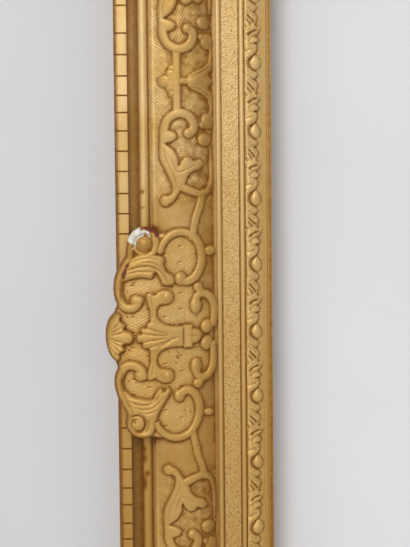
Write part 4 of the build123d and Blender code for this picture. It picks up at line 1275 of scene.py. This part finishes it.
def corner_mesh(name, step, seed):
    """The casting over a mitre, drawn on one leg and mirrored across it."""
    sizes = bpy.context.scene.relief_sizes
    height = sizes.scroll_height
    places = np.linspace(CAST_START, CORNER_LEG, int(round((CORNER_LEG - CAST_START) / step)) + 1)
    across, down = np.meshgrid(places, places, indexing="ij")
    u, v = np.minimum(across, down), np.maximum(across, down)
    ends = ramp(CORNER_LEG - v, 0, END_FADE)
    sway = mottle(u.shape, 12 / step, seed)
    sway = 0.3 * (sway + sway.T) * ends
    du, dv = u + sway, v - sway
    along = dv - (CORNER_LEG - CARTOUCHE_HALF)
    diagonal, aside = (du + dv - 40) / math.sqrt(2), (dv - du) / math.sqrt(2)
    spine = stroke_depth(du, dv, [(61.7, 82), (67, 76), (69.5, 68)], 6.0, 4.5)
    flank = stroke_depth(du, dv, [(20, 58), (27, 60), (33, 56), (38, 60)], 6.0, 5.0)
    parts = [
        arm_relief(du, along, height, UPPER_ARM),
        shell_relief(diagonal, aside, sizes.shell_height),
        palmette_relief(diagonal, aside, height),
        (swell(spine, 0.85 * height, 3.0), spine),
        (swell(flank, 0.85 * height, 3.0), flank),
    ]
    outer = smooth_line([
        (17, 121), (10, 113), (7, 102), (2, 90), (0, 74), (-4, 50), (-6, 25), (-5.5, 8), (-3, -3),
    ])
    inner = smooth_line([(90, 90), (70, 84), (60, 84), (44, 96), (28, 110), (17, 121)])
    panel = outline_depth(u, v, np.vstack([outer, [(6, -12), (99, 81)], inner]))
    sheet = frieze_sheet(u, v, CORNER_LEG)
    ringed = ring_ground(du, along)
    face, whole, shade, rich = cast_face(u, v, step, panel, parts, sheet, ringed, ends, seed + 2)
    whole = np.minimum(whole, OVERHANG_END - u)
    filled = np.logical_or.accumulate(whole > 0, axis=0) & np.logical_or.accumulate(whole > 0, axis=1)
    face, seat, whole, shade = cast_edge(u, face, whole, filled, shade, step)
    return solid_from_relief(name, across, down, face, seat, whole, {"tone": shade, "rich": rich})


def leaf_relief(u, t, pitch, height):
    """Buds held in slit and lobed leaves, repeated along the band, and the painted shade round the buds and
    along the leaves' edges.
    """
    away = pitch * np.round(t / pitch) - t
    onward = np.where(away < 0, away + pitch, away)
    edge = np.interp(away, *np.array(LEAF_EDGE).T)
    depth = np.minimum(edge - u, 1.6 * (u - LEAF_BED[0]))
    leaf = swell(depth, 0.8 * height, 3.0) + 0.4 * height * ramp(depth, 0, 5)
    lean = np.where(away < 0, 0.57, -1.1)
    veins = np.sin(math.tau * (away + lean * u) / 2.1)
    leaf += 0.08 * height * veins * ramp(depth, 0, 2)
    for line, width, cut in LEAF_SLITS:
        leaf -= groove(u, away, line, width, cut)
    fork = np.abs(onward - 24.2)
    leaf -= 1.5 * np.clip(1.15 - np.maximum(u - 99.8, 0) / 3.2 - fork / 2.4, 0, 1)
    tip = np.minimum(112.2 - u, 1.9 - np.abs(onward - 25.4))
    leaf = np.maximum(leaf, swell(tip, 0.4 * height, 2.6))
    reach = np.where(away < 0, 6.4, 5.8)
    pointed = np.abs(u - 107.3) * (1 + 0.5 * ramp(-away, 0, 6.4))
    egg = ((pointed / 4.7) ** 1.9 + (np.abs(away) / reach) ** 1.9) ** (1 / 1.9)
    bud = 0.95 * height * np.clip(1 - egg**2.2, 0, 1)
    leaf = np.where(egg < 1.1, np.minimum(leaf, 6 * height * np.maximum(egg - 1.0, 0)), leaf)
    # Painted shade: a dark ring round each bud and a soft band along each leaf's outer edge.
    rim = soft_peak(u - edge - 0.4, 1.1) * (egg > 1.1)
    return union(leaf, np.zeros(u.shape), bud), 0.38 * soft_peak(egg - 1.06, 0.09) + 0.2 * rim


def leaf_mesh(name, half, step, seed, shift):
    """Pressed strip of leaves and buds next to the opening, mitred at its ends."""
    start, end = LEAF_BED[0] + LEAF_GAP, LEAF_BED[1] - LEAF_GAP
    u, t = relief_grid(start, end, half, step)
    warp = 0.5 * mottle(u.shape, 9 / step, seed)
    height = bpy.context.scene.relief_sizes.leaf_height - LEAF_SHEET
    relief, shade = leaf_relief(u + 0.4 * warp, t - shift + warp, LEAF_PITCH, height)
    relief *= 1 + 0.1 * mottle(u.shape, 1.7 / step, seed + 2)
    bed = np.interp(u, LEAF_BED, LEAF_BED_HEIGHT)
    sheet = LEAF_SHEET * np.clip((end - u) / 2.5, 0.05, 1)
    face = bed + sheet + relief + 0.04 * mottle(u.shape, 1.8 / step, seed + 1)
    # Glaze and painted shade in the hollows of the band.
    shade += 0.26 * cavity(face, step, 0.6, 0.3) + 0.66 * cavity(face, step, 1.6, 0.8)
    fields = {
        "tone": np.clip(shade, 0, 1),
        "rich": np.full(u.shape, 0.55),
        "along": t,
        "rib": ramp(u, 109.6, 0.8) * (1 - ramp(relief, 0, 0.3)),
    }
    depth = np.minimum(np.minimum(u - start, end - u), (half - u - np.abs(t)) / math.sqrt(2))
    return solid_from_relief(name, u, t, face, bed, depth, fields)


def even_stations(half, step):
    """Places along a rail from mitre to mitre."""
    return np.linspace(-half, half, 2 * int(half / step) + 1)


def wavy(stations, profile, seed, strength):
    """Slight hand-finished unevenness of a moulding's face."""
    shape = (len(stations), len(profile))
    step = stations[1] - stations[0]
    return strength * (mottle(shape, 3.0, seed) + mottle(shape, 9.0 / step, seed + 1))


def strip_cuts(side, half, rng):
    """Places of a strip's saw cuts along its rail."""
    cuts = list(SEEN_CUTS) if side == "left" else []
    high, low = (max(SEEN_CUTS), min(SEEN_CUTS)) if side == "left" else (FIRST_CUT, -FIRST_CUT)
    for edge, sign in ((high, 1), (low, -1)):
        place = abs(edge)
        while place < half - UNCUT_END:
            place += CUT_PITCH + rng.uniform(-CUT_SPREAD, CUT_SPREAD)
            cuts.append(sign * place)
    return sorted(cuts)


def strip_profile():
    """Section of the outer strip, with its toning and the share of a cut's depth at each point."""
    side = [(STRIP_END, STRIP_BACK), (0, STRIP_BACK), (0, 14.0), (-STRIP_SWELL, 22.0)]
    reach = STRIP_ROUNDING + STRIP_SWELL
    turns = np.linspace(math.pi, math.pi / 2, 6)[:-1]
    rounding = [
        (STRIP_ROUNDING + reach * math.cos(turn), STRIP_FRONT - 2 * reach * (1 - math.sin(turn)))
        for turn in turns
    ]
    face = [(u, STRIP_FRONT) for u in np.linspace(STRIP_ROUNDING, STRIP_END, 7)]
    tones = [0.6, 0.75, 0.7, 0.9, 0.95, 0.95, 0.95, 0.9, 0.7, 0.25] + [0.0] * 5 + [0.25]
    depth = [0.0] * 4 + [0.3, 0.5, 0.7, 0.8, 0.9] + [1.0] * 7
    return side + rounding + face, np.array(tones), np.array(depth)


def moulding_profile():
    """Section of the main moulding with its toning, partly glaze and partly painted shade in the hollow and
    quirk: hollow, bead, quirk, bed of the frieze and foot.
    """
    hollow = arc_points(HOLLOW, 12)
    bead = bead_points(HOLLOW_END, BEAD_END, BEAD_HEIGHT)[1:]
    quirk = [(BEAD_END + 0.7, QUIRK_FLOOR), (FRIEZE_START, QUIRK_FLOOR)]
    bed = [(u, w - GROUND) for u, w in arc_points(FRIEZE, 14)]
    foot = [(FRIEZE_END, INNER_QUIRK), (SIGHT_START, INNER_QUIRK), (SIGHT_START, BOARD), (STRIP_END, BOARD)]
    profile = hollow + bead + quirk + bed + foot
    tones = np.zeros(len(profile))
    # The hollow is toned darker towards the bead and the quirk is toned dark: glaze with painted shade.
    tones[: len(hollow) - 1] = np.linspace(0.4, 0.84, len(hollow) - 1)
    bead_end = len(hollow) + len(bead) - 1
    tones[bead_end : bead_end + 4] = 0.5
    tones[-5:] = 0.55
    return profile, tones


def moulding_mesh(name, profile, tones, half, worn):
    """A main moulding; the photographed one has worn places on its bead."""
    stations = even_stations(half, 1.6 if worn else 3.0)
    lift = wavy(stations, profile, SEEDS["moulding"], 0.05)
    lift[:, -5:] = 0
    shade = np.tile(tones, (len(stations), 1))
    bole = np.zeros(shade.shape)
    across = np.array(profile)[:, 0]
    for middle, reach, rise, dark, place in BEAD_WEAR if worn else ():
        spot = soft_peak(stations[:, None] - middle, reach) * soft_peak(across - place, WEAR_WIDTH)
        lift += rise * spot
        shade = np.clip(shade + 1.3 * dark * spot, 0, 1)
        bole = np.clip(bole + 0.25 * dark * (spot > 0.6), 0, 1)
    fields = {"tone": shade, "bole": bole, "rich": ramp(tones, 0, 0.3)}
    return swept_solid(name, profile, upright_stations(profile, half, stations), lift, fields)


def sight_sections():
    """Parts of the sight moulding's section in order, each with its points and toning; the toning of the quirk,
    gaps, fillet and cove is glaze with painted shade.
    """
    gap = SAND_HEIGHT - 0.5
    reach, drop = RIM_START - LIP_END, LIP_HEIGHT - RIM_HEIGHT
    turns = np.linspace(0, math.pi / 2, 6)
    cove = [(LIP_END + reach * (1 - math.cos(a)), RIM_HEIGHT + drop * (1 - math.sin(a))) for a in turns]
    rim = [(RIM_START, RIM_HEIGHT), (RIM_END, RIM_HEIGHT), (RIM_END, BOARD), (SIGHT_START, BOARD)]
    # The quirk, gaps, fillet and cove are toned dark: glaze with painted shade in these narrow recesses.
    return (
        ("quirk", [(SIGHT_START, INNER_QUIRK), (SAND_BEAD[0], INNER_QUIRK)], 0.45),
        ("sand_bead", bead_points(*SAND_BEAD, SAND_HEIGHT), 0.0),
        ("outer_gap", [(SAND_BEAD[1], gap), (SAND[0], gap)], 0.7),
        ("sand", [(u, SAND_HEIGHT) for u in np.linspace(*SAND, 9)], 0.0),
        ("inner_gap", [(SAND[1], gap), (LEAF_BEAD[0], gap)], 0.9),
        ("leaf_bead", bead_points(*LEAF_BEAD, SAND_HEIGHT), 0.0),
        ("fillet", [(LEAF_BEAD[1], FILLET_HEIGHT), (LEAF_BED[0], FILLET_HEIGHT)], 0.9),
        ("lip", arc_points(LIP, 4), 0.12),
        ("cove", cove, (1.0, 0.9, 0.35, 0.25, 0.75, 0.85)),
        ("rim", rim, (0.78, 0.7, 0.5, 0.6)),
    )


class GILT_OT_carcass(bpy.types.Operator):
    """Gives the boards and corner keys their bare aged timber"""

    bl_idname = "gilt.carcass"
    bl_label = "Carcass"

    def execute(self, context):
        keys = [f"corner_key_{corner}" for corner in CORNER_OF_SIDE.values()]
        dress_nodes(("base_rail_left", "base_rail_right"), wood_material("softwood_upright", 2))
        dress_nodes(("base_rail_top", "base_rail_bottom"), wood_material("softwood_cross", 0))
        dress_nodes(keys, wood_material("softwood_key", 2, math.radians(45)))
        return {"FINISHED"}


class GILT_OT_edge_strips(bpy.types.Operator):
    """Builds the outer strips with their uneven saw cuts"""

    bl_idname = "gilt.edge_strips"
    bl_label = "Edge strips"

    def execute(self, context):
        rng = np.random.default_rng(SEEDS["cuts"])
        profile, tones, depth = strip_profile()
        for side, half in HALF.items():
            stations, sunk = [-half, MITRE_END - half], [0, 0]
            for cut in strip_cuts(side, half, rng):
                stations += [cut - CUT_HALF, cut - CUT_HALF / 2, cut + CUT_HALF / 2, cut + CUT_HALF]
                sunk += [0, 1, 1, 0]
            stations += [half - MITRE_END, half]
            sunk = np.array(sunk + [0, 0], float)[:, None]
            lift = -CUT_DEPTH * sunk * depth
            lift += 0.1 * mottle(lift.shape, 1.0, SEEDS["strip"]) * (depth > 0)
            fields = {"tone": np.clip(tones + 0.95 * sunk * (depth > 0.4), 0, 1)}
            along = upright_stations(profile, half, stations)
            mesh = swept_solid(f"edge_strip_{side}_face", profile, along, lift, fields)
            gilding = gilt_material("gilt_strip", "plain")
            add_piece(
                f"gilt_strip_{side}", mesh, rail_matrix(side), gilding, f"edge_strip_{side}"
            )
        return {"FINISHED"}


class GILT_OT_mouldings(bpy.types.Operator):
    """Builds the main mouldings: hollow, outer bead and frieze bed"""

    bl_idname = "gilt.mouldings"
    bl_label = "Main mouldings"

    def execute(self, context):
        profile, tones = moulding_profile()
        gilding = gilt_material("gilt_moulding", "plain")
        meshes = {}
        for side, half in HALF.items():
            name = "moulding_left_face" if side == "left" else f"moulding_{half:.0f}_face"
            if name not in meshes:
                meshes[name] = moulding_mesh(name, profile, tones, half, side == "left")
            add_piece(
                f"gilt_moulding_{side}", meshes[name], rail_matrix(side), gilding,
                f"frame_moulding_{side}",
            )
        return {"FINISHED"}


class GILT_OT_sight_mouldings(bpy.types.Operator):
    """Builds the sight mouldings: two beads, sanded flat, leaf bed, lip and rim"""

    bl_idname = "gilt.sight_mouldings"
    bl_label = "Sight mouldings"

    def execute(self, context):
        profile, tones, marks = [], [], {}
        for part, points, shade in sight_sections():
            marks[part] = len(profile)
            profile += points
            tones += np.broadcast_to(shade, len(points)).tolist()
        number = np.arange(len(profile))
        rich = number >= marks["lip"]
        fields = {"tone": tones, "rib": rich & (number < marks["cove"]), "rich": rich}
        sand = np.arange(marks["sand"], marks["inner_gap"] - 1)
        for pair, half in ((("left", "right"), HALF_HEIGHT), (("top", "bottom"), HALF_WIDTH)):
            shares = np.linspace(-1, 1, 2 * int(half / 3.0) + 1)
            fields["along"] = shares[:, None] * (half - np.array(profile)[:, 0])
            lift = wavy(shares * half, profile, SEEDS["sight"], 0.03)
            lift[:, marks["rim"] :] = 0
            mesh = swept_solid(f"sight_{half:.0f}_face", profile, fields["along"], lift, fields)
            mesh.materials.append(gilt_material("gilt_sight", "sight"))
            mesh.materials.append(gilt_material("gilt_sand", "sand"))
            material = np.zeros(len(mesh.polygons), np.int32)
            sanded = len(profile) * np.arange(len(shares) - 1)[:, None] + sand
            material[sanded.ravel()] = 1
            mesh.polygons.foreach_set("material_index", material)
            for side in pair:
                add_piece(
                    f"gilt_sight_{side}", mesh, rail_matrix(side), None, f"sight_moulding_{side}"
                )
        return {"FINISHED"}


class GILT_OT_leaf_bands(bpy.types.Operator):
    """Builds the pressed leaf bands next to the opening"""

    bl_idname = "gilt.leaf_bands"
    bl_label = "Leaf bands"

    def execute(self, context):
        gilding = gilt_material("gilt_leaf", "leaf")
        meshes = {}
        for side, half in HALF.items():
            step = mesh_step(side)
            key = f"leaf_{half:.0f}_{step:.2f}_face"
            if key not in meshes:
                shift = LEAF_SHIFT if side == "left" else 0.0
                meshes[key] = leaf_mesh(key, half, step, SEEDS["leaf"], shift)
            add_piece(
                f"pressed_leaf_band_{side}", meshes[key], rail_matrix(side), gilding,
                f"leaf_band_{side}",
            )
        return {"FINISHED"}


class GILT_OT_scroll_runs(bpy.types.Operator):
    """Builds the pressed scroll runs on the frieze"""

    bl_idname = "gilt.scroll_runs"
    bl_label = "Scroll runs"

    def execute(self, context):
        gilding = gilt_material("gilt_relief", "relief")
        meshes = {}
        for side, half in HALF.items():
            step = mesh_step(side)
            run = half - CARTOUCHE_HALF - CORNER_LEG
            for place, (end, sign) in enumerate(zip(RUN_ENDS[side], (1, -1))):
                key = f"run_{run:.0f}_{step:.2f}_{place if side == 'left' else 0}_face"
                if key not in meshes:
                    meshes[key] = run_mesh(key, run, step, SEEDS["run"] + 7 * place)
                placing = rail_matrix(side, sign * (CARTOUCHE_HALF + run / 2))
                add_piece(
                    f"pressed_scroll_run_{side}_{end}", meshes[key], placing, gilding,
                    f"scroll_run_{side}_{end}",
                )
        return {"FINISHED"}


class GILT_OT_centre_cartouches(bpy.types.Operator):
    """Builds the castings in the middle of each rail"""

    bl_idname = "gilt.centre_cartouches"
    bl_label = "Centre cartouches"

    def execute(self, context):
        sizes = context.scene.relief_sizes
        gilding = gilt_material("gilt_relief", "relief")
        photographed = centre_mesh("centre_left_face", sizes.fine_step, SEEDS["centre_left"], True)
        others = centre_mesh("centre_face", sizes.coarse_step, SEEDS["centre"], False)
        for side in HALF:
            add_piece(
                f"cast_cartouche_{side}", photographed if side == "left" else others, rail_matrix(side),
                gilding, f"centre_cartouche_{side}",
            )
        return {"FINISHED"}


class GILT_OT_corner_cartouches(bpy.types.Operator):
    """Builds the castings over the mitres"""

    bl_idname = "gilt.corner_cartouches"
    bl_label = "Corner cartouches"

    def execute(self, context):
        gilding = gilt_material("gilt_relief", "relief")
        mesh = corner_mesh("corner_face", context.scene.relief_sizes.coarse_step, SEEDS["corner"])
        mesh.transform(Matrix.Scale(-1, 4, Vector((0, 1, 0))))
        mesh.flip_normals()
        for side, corner in CORNER_OF_SIDE.items():
            add_piece(
                f"cast_corner_{corner}", mesh, rail_matrix(side, HALF[side]), gilding,
                f"corner_cartouche_{corner}",
            )
        return {"FINISHED"}


class GILT_OT_fittings(bpy.types.Operator):
    """Gives the hangers, turn buttons and screws their dull brass"""

    bl_idname = "gilt.fittings"
    bl_label = "Brass fittings"

    def execute(self, context):
        starts = ("turn_button", "button_screws", "hanger_")
        names = [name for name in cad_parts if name.startswith(starts)]
        dress_nodes(names, brass_material("dull_brass"))
        return {"FINISHED"}


class GILT_OT_stage(bpy.types.Operator):
    """Builds the wall, floor, light and camera"""

    bl_idname = "gilt.stage"
    bl_label = "Stage"

    def execute(self, context):
        settings = context.scene.stage_settings
        self.build_wall(settings)
        self.build_floor(settings)
        self.build_light(context, settings)
        self.build_camera(context, settings)
        context.scene.view_settings.view_transform = "Standard"
        return {"FINISHED"}

    def build_plane(self, name, corners, material):
        """A large flat sheet."""
        mesh = bpy.data.meshes.new(name)
        mesh.from_pydata(corners, [], [(0, 1, 2, 3)])
        mesh.materials.append(material)
        plane = bpy.data.objects.new(name, mesh)
        bpy.context.scene.collection.objects.link(plane)
        return plane

    def paint(self, tree, shader, shade, hue, roughness):
        """A pale colour that varies by a shade."""
        tone = make_node(tree, "ShaderNodeVectorMath", {"operation": "SCALE"}, {0: hue, "Scale": shade})
        feed_all(tree, shader, {"Base Color": tone.outputs["Vector"], "Roughness": roughness})

    def build_wall(self, settings):
        """A pale wall just behind the fittings that is seen from the front only, painted darker towards its
        left as shade.
        """
        material, tree, shader, place = start_material("pale_wall")
        mottled = rescale(tree, uneven(tree, place, 3.0, 3.0), 0.3, 0.7, 0.96, 1.03)
        # Painted shade: the wall darkens towards its left.
        painted_wall_shade = rescale(tree, axis_of(tree, place, "X"), -0.42, -0.2, 0.91, 1.04)
        self.paint(tree, shader, multiply(tree, mottled, painted_wall_shade), settings.wall, 0.9)
        clear = make_node(tree, "ShaderNodeBsdfTransparent")
        behind = make_node(tree, "ShaderNodeNewGeometry").outputs["Backfacing"]
        sides = {0: behind, 1: shader.outputs["BSDF"], 2: clear.outputs["BSDF"]}
        either = make_node(tree, "ShaderNodeMixShader", None, sides)
        output = next(made for made in tree.nodes if made.type == "OUTPUT_MATERIAL")
        feed(tree, output.inputs["Surface"], either.outputs["Shader"])
        ends = ((-1, FLOOR_LEVEL), (1, FLOOR_LEVEL), (1, WALL_TOP), (-1, WALL_TOP))
        wall = self.build_plane("wall", [(STAGE_HALF * x, WALL_BACK, z) for x, z in ends], material)
        wall.visible_diffuse = False
        wall.visible_glossy = False
        wall.visible_shadow = False
        wall.visible_transmission = False

    def build_floor(self, settings):
        """A pale floor below the frame."""
        material, tree, shader, place = start_material("pale_floor")
        mottled = rescale(tree, uneven(tree, place, 2.0, 3.0), 0.3, 0.7, 0.97, 1.03)
        self.paint(tree, shader, mottled, settings.floor, 0.85)
        ends = ((-1, -1), (1, -1), (1, 1), (-1, 1))
        corners = [(STAGE_HALF * x, STAGE_HALF * y, FLOOR_LEVEL) for x, y in ends]
        self.build_plane("floor", corners, material)

    def build_light(self, context, settings):
        """A soft lamp at the upper left, one behind the frame and an even sky."""
        world = bpy.data.worlds.new("room")
        context.scene.world = world
        world.use_nodes = True
        tree = world.node_tree
        facing = make_node(tree, "ShaderNodeTexCoord").outputs["Generated"]
        strength = rescale(tree, axis_of(tree, facing, "Z"), -0.4, 0.4, settings.ground, settings.sky)
        feed_all(tree, tree.nodes["Background"], {"Color": (1.0, 1.0, 1.0, 1.0), "Strength": strength})
        lamps = (
            ("key", (-1.2, -2.7, 1.9), (-0.33, 0.0, 0.02), settings.key, 1.3),
            ("back_fill", (0.8, 1.6, 0.9), (0.0, 0.0, 0.0), settings.fill, 1.2),
        )
        for name, place, target, power, size in lamps:
            lamp = bpy.data.lights.new(name, "AREA")
            lamp.energy = power
            lamp.size = size
            obj = bpy.data.objects.new(name, lamp)
            context.scene.collection.objects.link(obj)
            obj.location = place
            obj.rotation_mode = "QUATERNION"
            obj.rotation_quaternion = (Vector(target) - Vector(place)).to_track_quat("-Z", "Y")

    def build_camera(self, context, settings):
        """The photograph's close view of the left rail, from a little above and slightly rolled."""
        across, front, up = VIEW_MIDDLE
        target = Vector(((across - HALF_WIDTH) * MM, front, up))
        view = bpy.data.cameras.new("photograph")
        view.sensor_width = 36.0
        view.lens = view.sensor_width * settings.distance / VIEW_HEIGHT
        camera = bpy.data.objects.new("photograph", view)
        context.scene.collection.objects.link(camera)
        back = Vector((0, -math.cos(settings.tilt), math.sin(settings.tilt)))
        camera.location = target + settings.distance * back
        camera.rotation_mode = "QUATERNION"
        facing = (-back).to_track_quat("-Z", "Y")
        camera.rotation_quaternion = facing @ Matrix.Rotation(settings.roll, 3, "Z").to_quaternion()
        context.scene.camera = camera


class GILT_PT_frame(bpy.types.Panel):
    """The frame's sizes, finishes and pieces"""

    bl_label = "Gilded frame"
    bl_idname = "GILT_PT_frame"
    bl_space_type = "VIEW_3D"
    bl_region_type = "UI"
    bl_category = "Gilded frame"

    def draw(self, context):
        for group in SETTINGS:
            owner = getattr(context.scene, group)
            box = self.layout.box()
            box.label(text=owner.bl_rna.description)
            for name in owner.__annotations__:
                box.prop(owner, name)
        for operator in OPERATORS:
            self.layout.operator(operator.bl_idname)


SETTINGS = {
    "gilt_finish": GiltFinish,
    "back_finish": BackFinish,
    "relief_sizes": ReliefSizes,
    "stage_settings": StageSettings,
}
OPERATORS = (
    GILT_OT_carcass,
    GILT_OT_edge_strips,
    GILT_OT_mouldings,
    GILT_OT_sight_mouldings,
    GILT_OT_leaf_bands,
    GILT_OT_scroll_runs,
    GILT_OT_centre_cartouches,
    GILT_OT_corner_cartouches,
    GILT_OT_fittings,
    GILT_OT_stage,
)


def register():
    """Adds the settings, operators and panel."""
    for name, group in SETTINGS.items():
        bpy.utils.register_class(group)
        setattr(bpy.types.Scene, name, PointerProperty(type=group))
    for owner in OPERATORS + (GILT_PT_frame,):
        bpy.utils.register_class(owner)


def unregister():
    """Takes them away again."""
    for owner in reversed(OPERATORS + (GILT_PT_frame,)):
        bpy.utils.unregister_class(owner)
    for name, group in reversed(SETTINGS.items()):
        delattr(bpy.types.Scene, name)
        bpy.utils.unregister_class(group)


def main():
    """Builds every piece and the stage."""
    register()
    for operator in OPERATORS:
        group, name = operator.bl_idname.split(".")
        getattr(getattr(bpy.ops, group), name)()


if __name__ == "__main__":
    main()
